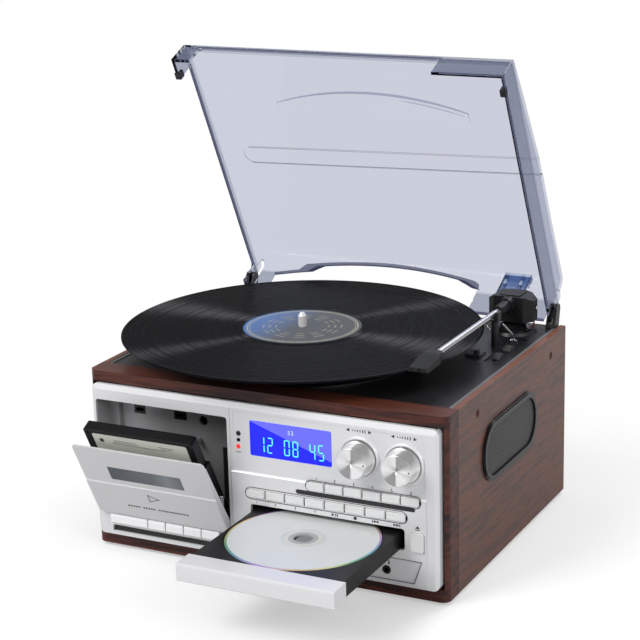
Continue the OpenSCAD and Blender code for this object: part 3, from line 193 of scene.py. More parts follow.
def upright_ring(outline, y):
    """An outline in x and z, stood upright at one depth."""
    outline = np.asarray(outline, float)
    return np.column_stack([outline[:, 0], np.full(len(outline), y), outline[:, 1]])


def flat_sheet(name, plates, place, body, material):
    """One mesh of many flat plates; each is an outline in x and z, drawn between two depths and closed."""
    points, faces = [], []
    for outline, near, far in plates:
        start, n = sum(len(part) for part in points), len(outline)
        points += [upright_ring(outline, near), upright_ring(outline, far)]
        faces += [list(range(start, start + n))[::-1], list(range(start + n, start + 2 * n))]
        faces += [[start + i, start + (i + 1) % n, start + n + (i + 1) % n, start + n + i] for i in range(n)]
    piece = make_piece(name, place(np.concatenate(points)), faces, body, material, smooth=False)
    turn_outwards(piece)
    return piece


def framed_plate(name, outer, inner, near, far, place, body, finish):
    """A plate with a hole: both outlines have the same number of points, joined ring to ring."""
    rings = [(outer, near), (outer, far), (inner, far), (inner, near)]
    points = np.concatenate([upright_ring(outline, y) for outline, y in rings])
    faces = grid_faces(4, len(outer), wrap_rows=True, wrap_columns=True)
    piece = make_piece(name, place(points), faces, body, finish, smooth=False)
    turn_outwards(piece)
    return piece


print("an outline of 2 points stood up at y = 5:", upright_ring([(0, 0), (1, 2)], 5.0).tolist())

# %% Wires
def wire_piece(name, path, radius, place, body, material, steps=10):
    """A wire: at each point of the path a circle stands square to the path's direction; ends are closed."""
    path = np.asarray(path, float)
    along = np.gradient(path, axis=0)
    along /= np.linalg.norm(along, axis=1, keepdims=True)
    guide = np.array([0.31, 0.17, 0.93])
    side = np.cross(along, guide)
    side /= np.linalg.norm(side, axis=1, keepdims=True)
    up = np.cross(along, side)
    angle = np.linspace(0, 2 * np.pi, steps, endpoint=False)
    ring = np.cos(angle)[None, :, None] * side[:, None] + np.sin(angle)[None, :, None] * up[:, None]
    points = path[:, None] + radius * ring
    faces = grid_faces(len(path), steps, wrap_columns=True)
    faces += [list(range(steps))[::-1], list(range((len(path) - 1) * steps, len(path) * steps))]
    piece = make_piece(name, place(points), faces, body, material)
    turn_outwards(piece)
    return piece


def smooth_path(points, steps):
    """A soft curve through a few points: each coordinate is a Catmull-Rom blend of its four neighbours."""
    p = np.asarray(points, float)
    p = np.vstack([2 * p[0] - p[1], p, 2 * p[-1] - p[-2]])
    t = np.linspace(0, len(p) - 3 - 1e-6, steps)
    k = t.astype(int)
    u = (t - k)[:, None]
    a, b, c, d = p[k], p[k + 1], p[k + 2], p[k + 3]
    return 0.5 * (2 * b + (c - a) * u + (2 * a - 5 * b + 4 * c - d) * u**2 + (3 * b - a - 3 * c + d) * u**3)


print("a soft path from x = 0 to", smooth_path([(0, 0, 0), (1, 2, 0), (3, 0, 0)], 9)[-1, 0].round(3))

# %% [markdown]
# ## Finishes as node trees
# A material is a Principled shader with textures that are computed, not painted. What several
# finishes share, such as a fine grain or a polar position on something round, is a node group with
# named inputs, built once. All of them read Object coordinates, which are the same metres as the
# scene's own, because every finished piece has its object at the origin. The alternative, pictures
# wrapped round each piece, would need unwrapped meshes and would show its seams close up.

# %% Nodes, sums and colours
def add(tree, kind, **values):
    """Adds a node; values that name one of its settings set it, the others set its input sockets."""
    node = tree.nodes.new(kind)
    for key, value in values.items():
        if hasattr(node, key):
            setattr(node, key, value)
        else:
            node.inputs[key.replace("_", " ")].default_value = value
    return node


def math_node(tree, operation, a, b=None, c=None):
    """One sum of two or three values or sockets."""
    node = tree.nodes.new("ShaderNodeMath")
    node.operation = operation
    for socket, value in zip(node.inputs, (a, b, c)):
        if isinstance(value, bpy.types.NodeSocket):
            tree.links.new(value, socket)
        elif value is not None:
            socket.default_value = value
    return node.outputs[0]


def mixed(tree, factor, first, second):
    """A colour between two others; each may be a socket or a plain colour."""
    node = tree.nodes.new("ShaderNodeMix")
    node.data_type = "RGBA"
    for socket, value in ((node.inputs[0], factor), (node.inputs[6], first), (node.inputs[7], second)):
        if isinstance(value, bpy.types.NodeSocket):
            tree.links.new(value, socket)
        else:
            socket.default_value = value if isinstance(value, float) else (*value, 1.0)
    return node.outputs[2]


def ramp(tree, factor, stops):
    """A colour ramp over a factor; stops are (place, colour)."""
    node = tree.nodes.new("ShaderNodeValToRGB")
    elements = node.color_ramp.elements
    while len(elements) < len(stops):
        elements.new(0.5)
    for element, (place, colour) in zip(elements, stops):
        element.position = place
        element.color = (*colour, 1.0)
    tree.links.new(factor, node.inputs[0])
    return node.outputs[0]


print("node helpers for Blender", bpy.app.version_string)

# %% Groups of nodes
def new_group(name, inputs, outputs):
    """An empty node group with named sockets; returns its tree, its input node and its output node."""
    tree = bpy.data.node_groups.new(name, "ShaderNodeTree")
    for label, kind, value in inputs:
        socket = tree.interface.new_socket(label, in_out="INPUT", socket_type=kind)
        if value is not None:
            socket.default_value = value
    for label, kind in outputs:
        tree.interface.new_socket(label, in_out="OUTPUT", socket_type=kind)
    return tree, tree.nodes.new("NodeGroupInput"), tree.nodes.new("NodeGroupOutput")


FLOAT, VECTOR = "NodeSocketFloat", "NodeSocketVector"
print("sockets of a group are", FLOAT, "or", VECTOR)

# %% Materials and places
def material(name, colour, roughness, metallic=0.0, **sockets):
    """A Principled material whose uniform values sit on the shader's own sockets."""
    made = bpy.data.materials.new(name)
    made.use_nodes = True
    shader = made.node_tree.nodes["Principled BSDF"]
    shader.inputs["Base Color"].default_value = (*colour, 1.0)
    shader.inputs["Roughness"].default_value = roughness
    shader.inputs["Metallic"].default_value = metallic
    for key, value in sockets.items():
        shader.inputs[key.replace("_", " ")].default_value = value
    return made


def shader_of(made):
    """The Principled shader of a material."""
    return made.node_tree.nodes["Principled BSDF"]


def object_place(tree):
    """The Object coordinates: scene metres, because each piece's object is at the origin."""
    return add(tree, "ShaderNodeTexCoord").outputs["Object"]


def place_axes(tree, vector=None):
    """The x, y and z of the Object coordinates, or of another vector, as three sockets."""
    split = add(tree, "ShaderNodeSeparateXYZ")
    tree.links.new(vector or object_place(tree), split.inputs[0])
    return split.outputs


def along_width(tree, start, end):
    """0 at one cabinet X in millimetres and 1 at another, for finishes that change along the width."""
    spread = add(tree, "ShaderNodeMapRange")
    spread.inputs["From Min"].default_value = float(on_cabinet([start, 0, 0])[0])
    spread.inputs["From Max"].default_value = float(on_cabinet([end, 0, 0])[0])
    tree.links.new(place_axes(tree)[0], spread.inputs["Value"])
    return spread.outputs["Result"]


def use_group(tree, group, vector=None, **values):
    """Places a node group, feeds it the object's coordinates or another vector, and sets its inputs."""
    node = tree.nodes.new("ShaderNodeGroup")
    node.node_tree = group
    tree.links.new(vector or object_place(tree), node.inputs["Vector"])
    for key, value in values.items():
        socket = node.inputs[key.replace("_", " ")]
        if isinstance(value, bpy.types.NodeSocket):
            tree.links.new(value, socket)
        else:
            socket.default_value = value
    return node


def bump(made, height, strength, distance):
    """Feeds a height to the shader's normal through a Bump node."""
    tree = made.node_tree
    node = add(tree, "ShaderNodeBump", Strength=strength, Distance=distance)
    tree.links.new(height, node.inputs["Height"])
    tree.links.new(node.outputs[0], shader_of(made).inputs["Normal"])


print("cabinet X = 0 is scene x =", round(float(on_cabinet([0, 0, 0])[0]), 5))

# %% [markdown]
# ## Shared effects
# Moulded plastic, rubber and sprayed metal all carry a fine grain, round things need the distance
# and the angle from their axis, and dark gaps need a mask shaped like a box. Each could be built
# anew in every material; as a node group it is built once and placed with other values.

# %% Fine grain
def build_grain():
    """Fine grain from two noises: a fine one for height, and a slow one for tint and gloss."""
    tree, given, out = new_group("fine_grain", [("Vector", VECTOR, None), ("Scale", FLOAT, 900.0)],
                                 [("Height", FLOAT), ("Patches", FLOAT)])
    fine = add(tree, "ShaderNodeTexNoise", Detail=3.0, Roughness=0.6)
    tree.links.new(given.outputs["Vector"], fine.inputs["Vector"])
    tree.links.new(given.outputs["Scale"], fine.inputs["Scale"])
    slow = add(tree, "ShaderNodeTexNoise", Detail=2.0, Roughness=0.5, Scale=14.0)
    tree.links.new(given.outputs["Vector"], slow.inputs["Vector"])
    tree.links.new(fine.outputs["Fac"], out.inputs["Height"])
    tree.links.new(slow.outputs["Fac"], out.inputs["Patches"])
    return tree


GRAIN = build_grain()
print("group", GRAIN.name, "has", len(GRAIN.nodes), "nodes")

# %% Place on a round thing
def build_polar():
    """Place on a round thing that faces along Z: distance from a centre, and the angle as 0 to 1."""
    tree, given, out = new_group("polar_place", [("Vector", VECTOR, None), ("Centre", VECTOR, None)],
                                 [("Radius", FLOAT), ("Angle", FLOAT)])
    away = add(tree, "ShaderNodeVectorMath", operation="SUBTRACT")
    tree.links.new(given.outputs["Vector"], away.inputs[0])
    tree.links.new(given.outputs["Centre"], away.inputs[1])
    x, y, _ = place_axes(tree, away.outputs[0])
    squares = math_node(tree, "ADD", math_node(tree, "MULTIPLY", x, x), math_node(tree, "MULTIPLY", y, y))
    tree.links.new(math_node(tree, "SQRT", squares), out.inputs["Radius"])
    turn = math_node(tree, "DIVIDE", math_node(tree, "ARCTAN2", y, x), 2 * math.pi)
    tree.links.new(math_node(tree, "ADD", turn, 0.5), out.inputs["Angle"])
    return tree


POLAR = build_polar()
print("group", POLAR.name, "has", len(POLAR.nodes), "nodes")

# %% Box mask
def build_box_mask():
    """1 inside a box given by its middle and half size, 0 outside, with a soft edge."""
    tree, given, out = new_group("box_mask", [("Vector", VECTOR, None), ("Middle", VECTOR, None),
                                              ("Half", VECTOR, None), ("Soft", FLOAT, 0.0005)],
                                 [("Mask", FLOAT)])
    away = add(tree, "ShaderNodeVectorMath", operation="SUBTRACT")
    tree.links.new(given.outputs["Vector"], away.inputs[0])
    tree.links.new(given.outputs["Middle"], away.inputs[1])
    size = add(tree, "ShaderNodeVectorMath", operation="ABSOLUTE")
    tree.links.new(away.outputs[0], size.inputs[0])
    left = add(tree, "ShaderNodeVectorMath", operation="SUBTRACT")
    tree.links.new(given.outputs["Half"], left.inputs[0])
    tree.links.new(size.outputs[0], left.inputs[1])
    x, y, z = place_axes(tree, left.outputs[0])
    least = math_node(tree, "MINIMUM", math_node(tree, "MINIMUM", x, y), z)
    scaled = math_node(tree, "DIVIDE", least, given.outputs["Soft"])
    clamp = add(tree, "ShaderNodeClamp")
    tree.links.new(scaled, clamp.inputs[0])
    tree.links.new(clamp.outputs[0], out.inputs["Mask"])
    return tree


BOX_MASK = build_box_mask()
print("group", BOX_MASK.name, "has", len(BOX_MASK.nodes), "nodes")

# %% Grained finish
GLOSS_CHANGE = 0.08


def grained(made, scale, strength, distance, tint=0.0):
    """Gives a plain finish its fine grain, a slow change of tint and a slow change of gloss."""
    tree = made.node_tree
    shader = shader_of(made)
    grain = use_group(tree, GRAIN, Scale=scale)
    bump(made, grain.outputs["Height"], strength, distance)
    base = shader.inputs["Roughness"].default_value
    spread = math_node(tree, "MULTIPLY_ADD", grain.outputs["Patches"], GLOSS_CHANGE, base - GLOSS_CHANGE / 2)
    tree.links.new(spread, shader.inputs["Roughness"])
    if tint:
        colour = shader.inputs["Base Color"].default_value[:3]
        darker = tuple(c * (1 - tint) for c in colour)
        lighter = tuple(min(c * (1 + tint), 1.0) for c in colour)
        tree.links.new(mixed(tree, grain.outputs["Patches"], darker, lighter), shader.inputs["Base Color"])
    return made


print("gloss changes by", GLOSS_CHANGE, "over a part")

# %% [markdown]
# ## Wood
# The case is particle board under a thin mahogany veneer with a satin lacquer. The veneer's
# figure is a stack of long, slightly wavy bands with fine dark pores along them. Noise that is
# stretched along the grain gives both: a slow noise for the bands, a fast one for the pores. The
# front strip is darker and its grain runs along the width; on the sides it climbs at a slant. A
# picture of veneer would repeat on the two sides; noise never does.

# %% Veneer
def veneer(name, tones, stretch, turn, edge):
    """Wood figure: noise in coordinates squeezed along the grain, darker pores, and painted light on the
    level edge: a warmer, paler tone on the faces that look up.
    """
    made = material(name, tones[1], 0.38, Coat_Weight=0.12, Coat_Roughness=0.15, Specular_IOR_Level=0.35)
    tree = made.node_tree
    shader = shader_of(made)
    placed = add(tree, "ShaderNodeMapping")
    placed.inputs["Rotation"].default_value = turn
    placed.inputs["Scale"].default_value = stretch
    tree.links.new(object_place(tree), placed.inputs["Vector"])
    figure = add(tree, "ShaderNodeTexNoise", Scale=9.0, Detail=5.0, Roughness=0.62, Distortion=0.25)
    pores = add(tree, "ShaderNodeTexNoise", Scale=48.0, Detail=4.0, Roughness=0.7)
    for node in (figure, pores):
        tree.links.new(placed.outputs[0], node.inputs["Vector"])
    bands = ramp(tree, figure.outputs["Fac"], [(0.36, tones[0]), (0.48, tones[1]), (0.58, tones[2]),
                                               (0.70, tones[1])])
    pits = ramp(tree, pores.outputs["Fac"], [(0.36, (0.60, 0.60, 0.60)), (0.54, (1.0, 1.0, 1.0))])
    shade = add(tree, "ShaderNodeMix", data_type="RGBA", blend_type="MULTIPLY")
    shade.inputs[0].default_value = 0.8
    tree.links.new(bands, shade.inputs[6])
    tree.links.new(pits, shade.inputs[7])
    facing = place_axes(tree, add(tree, "ShaderNodeNewGeometry").outputs["Normal"])
    # Painted light: the faces that look up are mixed towards the paler, warmer edge tone.
    level = math_node(tree, "GREATER_THAN", facing[2], 0.7)
    lit_tops = mixed(tree, math_node(tree, "MULTIPLY", level, 0.6), shade.outputs[2], edge)
    tree.links.new(lit_tops, shader.inputs["Base Color"])
    rough = math_node(tree, "MULTIPLY_ADD", pores.outputs["Fac"], -0.2, 0.50)
    tree.links.new(rough, shader.inputs["Roughness"])
    bump(made, pores.outputs["Fac"], 0.2, 0.0001)
    return made


# The last colour of each veneer is the painted light on its faces that look up.
WOOD_FRONT = veneer("veneer_front", [(0.016, 0.004, 0.003), (0.060, 0.012, 0.007), (0.115, 0.026, 0.012)],
                    (1.3, 9.0, 20.0), (0.0, 0.03, 0.0), (0.14, 0.040, 0.022))
WOOD_SIDE = veneer("veneer_side", [(0.085, 0.045, 0.038), (0.125, 0.062, 0.048), (0.185, 0.068, 0.040)],
                   (9.0, 1.6, 26.0), (math.radians(-31), 0.0, 0.0), (0.24, 0.075, 0.035))
BOARD = grained(material("plain_board", (0.30, 0.20, 0.13), 0.75), 300.0, 0.4, 0.0002, 0.15)
print("wood finishes:", WOOD_FRONT.name, WOOD_SIDE.name, BOARD.name)

# %% Wood on the solid parts
def dress(finish, *nodes):
    """Puts one finish on the named solid parts."""
    for name in nodes:
        slots = frame["nodes"][name].material_slots
        if not slots:
            frame["nodes"][name].data.materials.append(finish)
        for one in frame["nodes"][name].material_slots:
            one.link = "OBJECT"
            one.material = finish


dress(WOOD_FRONT, "front_frame")
dress(WOOD_SIDE, "side_left", "side_right")
dress(BOARD, "bottom_board")
print("wood on front_frame, side_left and side_right")

# %% [markdown]
# ## Plastics and metals of the case
# Moulded black plastic is never an even black: a fine spark-eroded grain scatters the light, and
# its gloss changes slowly over the part. The silver panel is plastic too, sprayed with a satin
# metallic paint, whose tiny flakes break up the highlight. Thin gaps, such as those round the
# buttons, are too narrow to fall into visible shade by themselves in a picture of this size. They
# could be cut deeper; box masks in the paint darken them with painted shade instead, and leave the
# solid parts alone.

# %% Metallic paint and painted shade in gaps
def flake_silver(name, colour, roughness, metallic=0.75):
    """Satin metallic paint: tiny cells tip the normal a little and change the tone a little."""
    made = material(name, colour, roughness, metallic, Coat_Weight=0.15, Coat_Roughness=0.2)
    tree = made.node_tree
    flakes = add(tree, "ShaderNodeTexVoronoi", Scale=2600.0)
    tree.links.new(object_place(tree), flakes.inputs["Vector"])
    tone = ramp(tree, flakes.outputs["Distance"], [(0.0, tuple(c * 1.03 for c in colour)),
                                                   (1.0, tuple(c * 0.94 for c in colour))])
    tree.links.new(tone, shader_of(made).inputs["Base Color"])
    bump(made, flakes.outputs["Distance"], 0.06, 0.00005)
    return made


MASK_EDGE = 0.0001
SHADE_TONE = (0.008, 0.008, 0.008)


def painted_shade(made, boxes):
    """Paints shade dark over a finish, in boxes given in cabinet millimetres (x, y, z ranges)."""
    tree = made.node_tree
    shader = shader_of(made)
    base = shader.inputs["Base Color"]
    colour = base.links[0].from_socket
    inside = 0.0
    for box in boxes:
        low, high = (on_cabinet([side[k] for side in box]) for k in (0, 1))
        mask = use_group(tree, BOX_MASK, Middle=tuple((low + high) / 2), Half=tuple((high - low) / 2),
                         Soft=MASK_EDGE)
        inside = math_node(tree, "MAXIMUM", mask.outputs["Mask"], inside)
    tree.links.new(mixed(tree, inside, colour, SHADE_TONE), base)
    metallic = shader.inputs["Metallic"].default_value
    tree.links.new(math_node(tree, "MULTIPLY_ADD", inside, -metallic, metallic), shader.inputs["Metallic"])
    return made


print("gaps are painted with a tone of", SHADE_TONE[0])

# %% Buttons, deck and well
BUTTON_HALF = 0.468  # of the pitch; the rest is gap


def button_row(name, start, pitch):
    """Pearl buttons with painted shade on their ends, next to the gaps, told by the fraction that is left of
    the place over the pitch.
    """
    made = flake_silver(name, (0.80, 0.80, 0.80), 0.22, 0.15)
    tree = made.node_tree
    base = shader_of(made).inputs["Base Color"]
    colour = base.links[0].from_socket
    first = float(on_cabinet([start, 0, 0])[0])
    from_first = math_node(tree, "SUBTRACT", place_axes(tree)[0], first)
    step = math_node(tree, "FRACT", math_node(tree, "DIVIDE", from_first, pitch * MM))
    from_middle = math_node(tree, "ABSOLUTE", math_node(tree, "SUBTRACT", step, 0.5))
    # Painted shade: past this half width, next to the gap, a button turns near black.
    end = math_node(tree, "GREATER_THAN", from_middle, BUTTON_HALF)
    tree.links.new(mixed(tree, end, colour, (0.012, 0.012, 0.013)), base)
    return made


RAIL_FROM_MIDDLE = 149.3


def deck_plastic():
    """Grained black with a painted highlight: a paler bevelled rail along both edges, told by the distance
    from the middle.
    """
    made = grained(material("deck_black", (0.014, 0.014, 0.016), 0.33, Specular_IOR_Level=0.45), 1400.0, 0.35,
                   0.00006, 0.15)
    tree = made.node_tree
    shader = shader_of(made)
    away = math_node(tree, "ABSOLUTE", math_node(tree, "SUBTRACT", place_axes(tree)[0], float(ORIGIN[0])))
    # Painted highlight: the bevelled rails along both edges turn a paler grey.
    rail = math_node(tree, "GREATER_THAN", away, RAIL_FROM_MIDDLE * MM)
    black = shader.inputs["Base Color"].links[0].from_socket
    tree.links.new(mixed(tree, rail, black, (0.16, 0.16, 0.165)), shader.inputs["Base Color"])
    return made


def well_plastic():
    """Silver grey that darkens from left to right, away from the light, told by the place along X."""
    made = grained(material("well_grey", (0.46, 0.46, 0.47), 0.36, 0.25), 900.0, 0.3, 0.00006, 0.1)
    tree = made.node_tree
    tone = ramp(tree, along_width(tree, -142, -30), [(0.0, (0.50, 0.50, 0.51)), (0.4, (0.34, 0.34, 0.35)),
                                                     (1.0, (0.17, 0.17, 0.175))])
    tree.links.new(tone, shader_of(made).inputs["Base Color"])
    return made


print("deck rails start", RAIL_FROM_MIDDLE, "mm from the middle")

# %% Black and grey finishes
DECK_BLACK = deck_plastic()
BRACKET_GREY = grained(material("bracket_grey", (0.030, 0.027, 0.026), 0.40), 900.0, 0.3, 0.00005, 0.1)
ARM_BLACK = grained(material("arm_black", (0.010, 0.010, 0.011), 0.42, Specular_IOR_Level=0.25), 1600.0, 0.3,
                    0.00005, 0.1)
GLOSS_BLACK = grained(material("gloss_black", (0.010, 0.010, 0.012), 0.18), 500.0, 0.03, 0.00003)
# Painted shade: the recess beside the door's spring and two slots of the back wall are painted dark.
WELL_SHADE = [((-46, -22), (-4, 40), (20, 92)),                     # beside the door's spring
             ((-128.5, -117.5), (12, 60), (110.3, 117.7)),         # left slot of the back wall
             ((-90.5, -78.5), (12, 60), (109.9, 117.1))]           # right slot of the back wall
WELL_GREY = painted_shade(well_plastic(), WELL_SHADE)
DRIVE_GREY = grained(material("drive_grey", (0.05, 0.05, 0.052), 0.40), 900.0, 0.3, 0.00006, 0.1)
SHELL_BLACK = grained(material("shell_black", (0.006, 0.006, 0.007), 0.30, Specular_IOR_Level=0.2), 900.0,
                      0.2, 0.00004, 0.1)
DARK_PLASTIC = grained(material("dark_plastic", (0.009, 0.009, 0.010), 0.36, Specular_IOR_Level=0.2), 1100.0,
                       0.25, 0.00005, 0.1)
SWITCH_GREY = grained(material("switch_grey", (0.055, 0.055, 0.056), 0.40), 900.0, 0.2, 0.00005, 0.1)
RUBBER = grained(material("soft_rubber", (0.012, 0.012, 0.012), 0.6), 800.0, 0.4, 0.00006)
print("materials in the scene, with the solid parts' own:", len(bpy.data.materials))

# %% Silver, pearl and bright finishes
# Painted shade: the slot under the keys, the joints round the panel and the button slots are painted dark.
PANEL_SHADE = [((-139.4, -37.2), (-4.5, -3.0), (13.9, 19.3)),        # slot under the cassette keys
              ((-150, 150), (-0.6, 11), (139.55, 141.6)),           # joint above the panel
              ((-150, 150), (-1, 11), (9.6, 10.75)),                # joint below the panel
              ((41.8, 138.3), (-4.0, 2), (76.6, 86.0)),             # slot of the upper row
              ((-11.8, 127), (-5.4, 2), (62.8, 72.2)),              # slot of the lower row
              ((130.3, 141.4), (-5.4, 2), (39.9, 58.3))]            # slot of the open button
PANEL_SILVER = painted_shade(flake_silver("panel_silver", (0.80, 0.80, 0.81), 0.42, 0.25), PANEL_SHADE)
DOOR_SILVER = flake_silver("door_silver", (0.77, 0.77, 0.78), 0.36, 0.30)
PEARL = flake_silver("pearl_silver", (0.80, 0.80, 0.80), 0.22, 0.15)
UPPER_ROW = (41.8, 16.07)  # left end and pitch
LOWER_ROW = (-11.7, 17.325)
FUNCTION_PEARL = button_row("function_pearl", *UPPER_ROW)
TRANSPORT_PEARL = button_row("transport_pearl", *LOWER_ROW)
KEY_PEARL = grained(material("key_pearl", (0.92, 0.92, 0.93), 0.16, 0.05, Coat_Weight=0.5), 300.0, 0.02,
                    0.00002)
TRAY_WHITE = grained(material("tray_white", (0.74, 0.74, 0.75), 0.25), 300.0, 0.02, 0.00002)
CHROME = grained(material("polished_steel", (0.62, 0.62, 0.63), 0.20, 0.9), 400.0, 0.02, 0.00002)
STEEL = grained(material("plain_steel", (0.45, 0.45, 0.46), 0.38, 1.0), 500.0, 0.1, 0.00004)
SCREW_BROWN = grained(material("screw_brown", (0.10, 0.032, 0.022), 0.35, 0.3), 500.0, 0.1, 0.00004)
BRASS = grained(material("turned_brass", (0.62, 0.44, 0.18), 0.25, 1.0), 500.0, 0.05, 0.00003)
GREEN_BOARD = grained(material("circuit_board", (0.02, 0.11, 0.045), 0.4), 700.0, 0.2, 0.00004, 0.2)
WHITE_PLASTIC = grained(material("white_plastic", (0.78, 0.78, 0.76), 0.35), 500.0, 0.05, 0.00003)
RED_PLASTIC = grained(material("red_wire", (0.45, 0.015, 0.01), 0.35), 500.0, 0.05, 0.00003)
print("materials in the scene by now:", len(bpy.data.materials))

# %% Finishes on the solid parts
dress(DECK_BLACK, "deck", "back_panel")
dress(BRACKET_GREY, "hinge_brackets")
dress(ARM_BLACK, "arm_block", "headshell")
dress(GLOSS_BLACK, "arm_turret", "speaker_grilles", "sockets")
dress(WELL_GREY, "cassette_well")
dress(DRIVE_GREY, "disc_drive")
dress(SHELL_BLACK, "cassette")
dress(DARK_PLASTIC, "tray", "cassette_holder")
dress(SWITCH_GREY, "speed_switch", "autostop_switch")
dress(RUBBER, "feet", "drive_belt", "cover_bumpers")
dress(PANEL_SILVER, "front_panel")
dress(DOOR_SILVER, "door")
dress(PEARL, "open_button")
dress(FUNCTION_PEARL, *[f"function_button_{i}" for i in range(1, 7)])
dress(TRANSPORT_PEARL, *[f"transport_button_{i}" for i in range(1, 9)])
dress(KEY_PEARL, *[f"cassette_key_{i}" for i in range(1, 6)])
dress(TRAY_WHITE, "tray_front")
dress(CHROME, "arm_tube", "cue_lever")
dress(SCREW_BROWN, "side_screws")
dress(STEEL, "platter_motor", "speaker_drivers")
dress(BRASS, "motor_pulley")
dress(GREEN_BOARD, "electronics")
dressed = [any(slot.link == "OBJECT" for slot in node.material_slots) for node in frame["nodes"].values()]
print("solid parts with their finish:", sum(dressed), "of", len(dressed))

# %% [markdown]
# ## Record
# A record's playing surface is thousands of fine rings, which spread every light into two opposite
# fans. Rings cut as geometry would be far too many faces. Here they are counted by the distance
# from the spindle: a sine lifts the bump, a noise of the radius alone tells loud tracks from quiet
# ones, and the fans are painted highlights: paler streaks in the colour round two directions. The
# label is a thin disc of its own.

# %% Place round the spindle
SPINDLE = (-22.0, 118.0)
SPINDLE_R = 3.7
RECORD_TOP = 169.0
LABEL_R = 50.0


def record_polar(tree):
    """Radius and angle round the spindle."""
    centre = tuple(on_cabinet([SPINDLE[0], SPINDLE[1], RECORD_TOP]))
    node = use_group(tree, POLAR, Centre=centre)
    return node.outputs["Radius"], node.outputs["Angle"]


print("spindle at", on_cabinet([*SPINDLE, RECORD_TOP]).round(4), "m")

# %% Platter
def platter_finish():
    """Dark grained plastic; within the spindle's radius it is bright metal."""
    made = grained(material("platter_grey", (0.030, 0.030, 0.032), 0.45), 1200.0, 0.3, 0.00005, 0.1)
    tree = made.node_tree
    shader = shader_of(made)
    radius, _ = record_polar(tree)
    pin = math_node(tree, "LESS_THAN", radius, SPINDLE_R * MM)
    dark = shader.inputs["Base Color"].links[0].from_socket
    tree.links.new(mixed(tree, pin, dark, (0.86, 0.84, 0.83)), shader.inputs["Base Color"])
    tree.links.new(math_node(tree, "MULTIPLY", pin, 0.5), shader.inputs["Metallic"])
    return made


dress(platter_finish(), "platter")
print("bright pin within", SPINDLE_R, "mm of the axis")

# %% Grooves
# Painted highlights: two pairs of paler streaks in the record's colour.
PAINTED_FANS = ((175.0, 22.0, 0.55), (55.0, 50.0, 0.35))  # direction, narrowness and strength


def groove_black():
    """Grooves: a sine of the radius; tracks: a noise of it; painted highlights in fans: a power of the
    doubled angle's cosine.
    """
    made = material("groove_black", (0.010, 0.010, 0.011), 0.28, Anisotropic=0.55, Specular_IOR_Level=0.01)
    tree = made.node_tree
    shader = shader_of(made)
    radius, angle = record_polar(tree)
    rings = math_node(tree, "SINE", math_node(tree, "MULTIPLY", radius, 9000.0))
    tracks = add(tree, "ShaderNodeTexNoise", noise_dimensions="1D", Scale=260.0, Detail=5.0, Roughness=0.7)
    tree.links.new(radius, tracks.inputs["W"])
    shade = ramp(tree, tracks.outputs["Fac"], [(0.35, (0.003, 0.003, 0.004)), (0.65, (0.009, 0.009, 0.010))])
    fans = 0.0
    for direction, narrow, strength in PAINTED_FANS:
        turned_by = math_node(tree, "MULTIPLY_ADD", angle, 4 * math.pi, -2 * math.radians(direction))
        facing = math_node(tree, "MAXIMUM", math_node(tree, "COSINE", turned_by), 0.0)
        lobe = math_node(tree, "POWER", facing, narrow)
        fans = math_node(tree, "MULTIPLY_ADD", lobe, strength, fans)
    streaks = ramp(tree, tracks.outputs["Fac"], [(0.3, (0.25, 0.25, 0.25)), (0.7, (1.0, 1.0, 1.0))])
    # The fans mix the paler colour of a painted highlight into the black.
    lit = mixed(tree, fans, shade, (0.16, 0.155, 0.165))
    tree.links.new(mixed(tree, streaks, shade, lit), shader.inputs["Base Color"])
    rough = math_node(tree, "MULTIPLY_ADD", tracks.outputs["Fac"], 0.30, 0.14)
    tree.links.new(rough, shader.inputs["Roughness"])
    bump(made, rings, 0.12, 0.00002)
    around = add(tree, "ShaderNodeTangent", direction_type="RADIAL", axis="Z")
    tree.links.new(around.outputs[0], shader.inputs["Tangent"])
    return made


dress(groove_black(), "record")
print("grooved face with", len(PAINTED_FANS), "pairs of fans")

# %% Record label
def label_paper():
    """Printed label: blue that fades to slate from left to right, thin cream rings, short cream dashes."""
    made = material("label_paper", (0.10, 0.12, 0.14), 0.42)
    tree = made.node_tree
    radius, angle = record_polar(tree)
    across = along_width(tree, SPINDLE[0] - LABEL_R, SPINDLE[0] + LABEL_R)
    field = ramp(tree, across, [(0.0, (0.045, 0.16, 0.46)), (0.22, (0.06, 0.13, 0.30)),
                                (0.45, (0.055, 0.065, 0.075)), (1.0, (0.045, 0.052, 0.048))])
    scaled = math_node(tree, "DIVIDE", radius, LABEL_R * MM)
    rings = math_node(tree, "MAXIMUM", math_node(tree, "COMPARE", scaled, 0.925, 0.012),
                      math_node(tree, "COMPARE", scaled, 0.885, 0.005))
    wave = math_node(tree, "SINE", math_node(tree, "MULTIPLY", scaled, 60.0))
    bands = math_node(tree, "GREATER_THAN", wave, 0.55)
    zone = math_node(tree, "COMPARE", scaled, 0.58, 0.16)
    step = math_node(tree, "FRACT", math_node(tree, "MULTIPLY", angle, 12.0))
    dash = math_node(tree, "MULTIPLY", math_node(tree, "GREATER_THAN", step, 0.45),
                     math_node(tree, "MULTIPLY", bands, zone))
    marks = math_node(tree, "MAXIMUM", rings, math_node(tree, "MULTIPLY", dash, 0.55))
    tree.links.new(mixed(tree, marks, field, (0.42, 0.40, 0.28)), shader_of(made).inputs["Base Color"])
    grain = use_group(tree, GRAIN, Scale=1500.0)
    bump(made, grain.outputs["Height"], 0.1, 0.00003)
    return made


def on_record(points):
    """Points drawn round the spindle, in cabinet millimetres."""
    return on_cabinet(points + np.array([SPINDLE[0], SPINDLE[1], 0.0]))


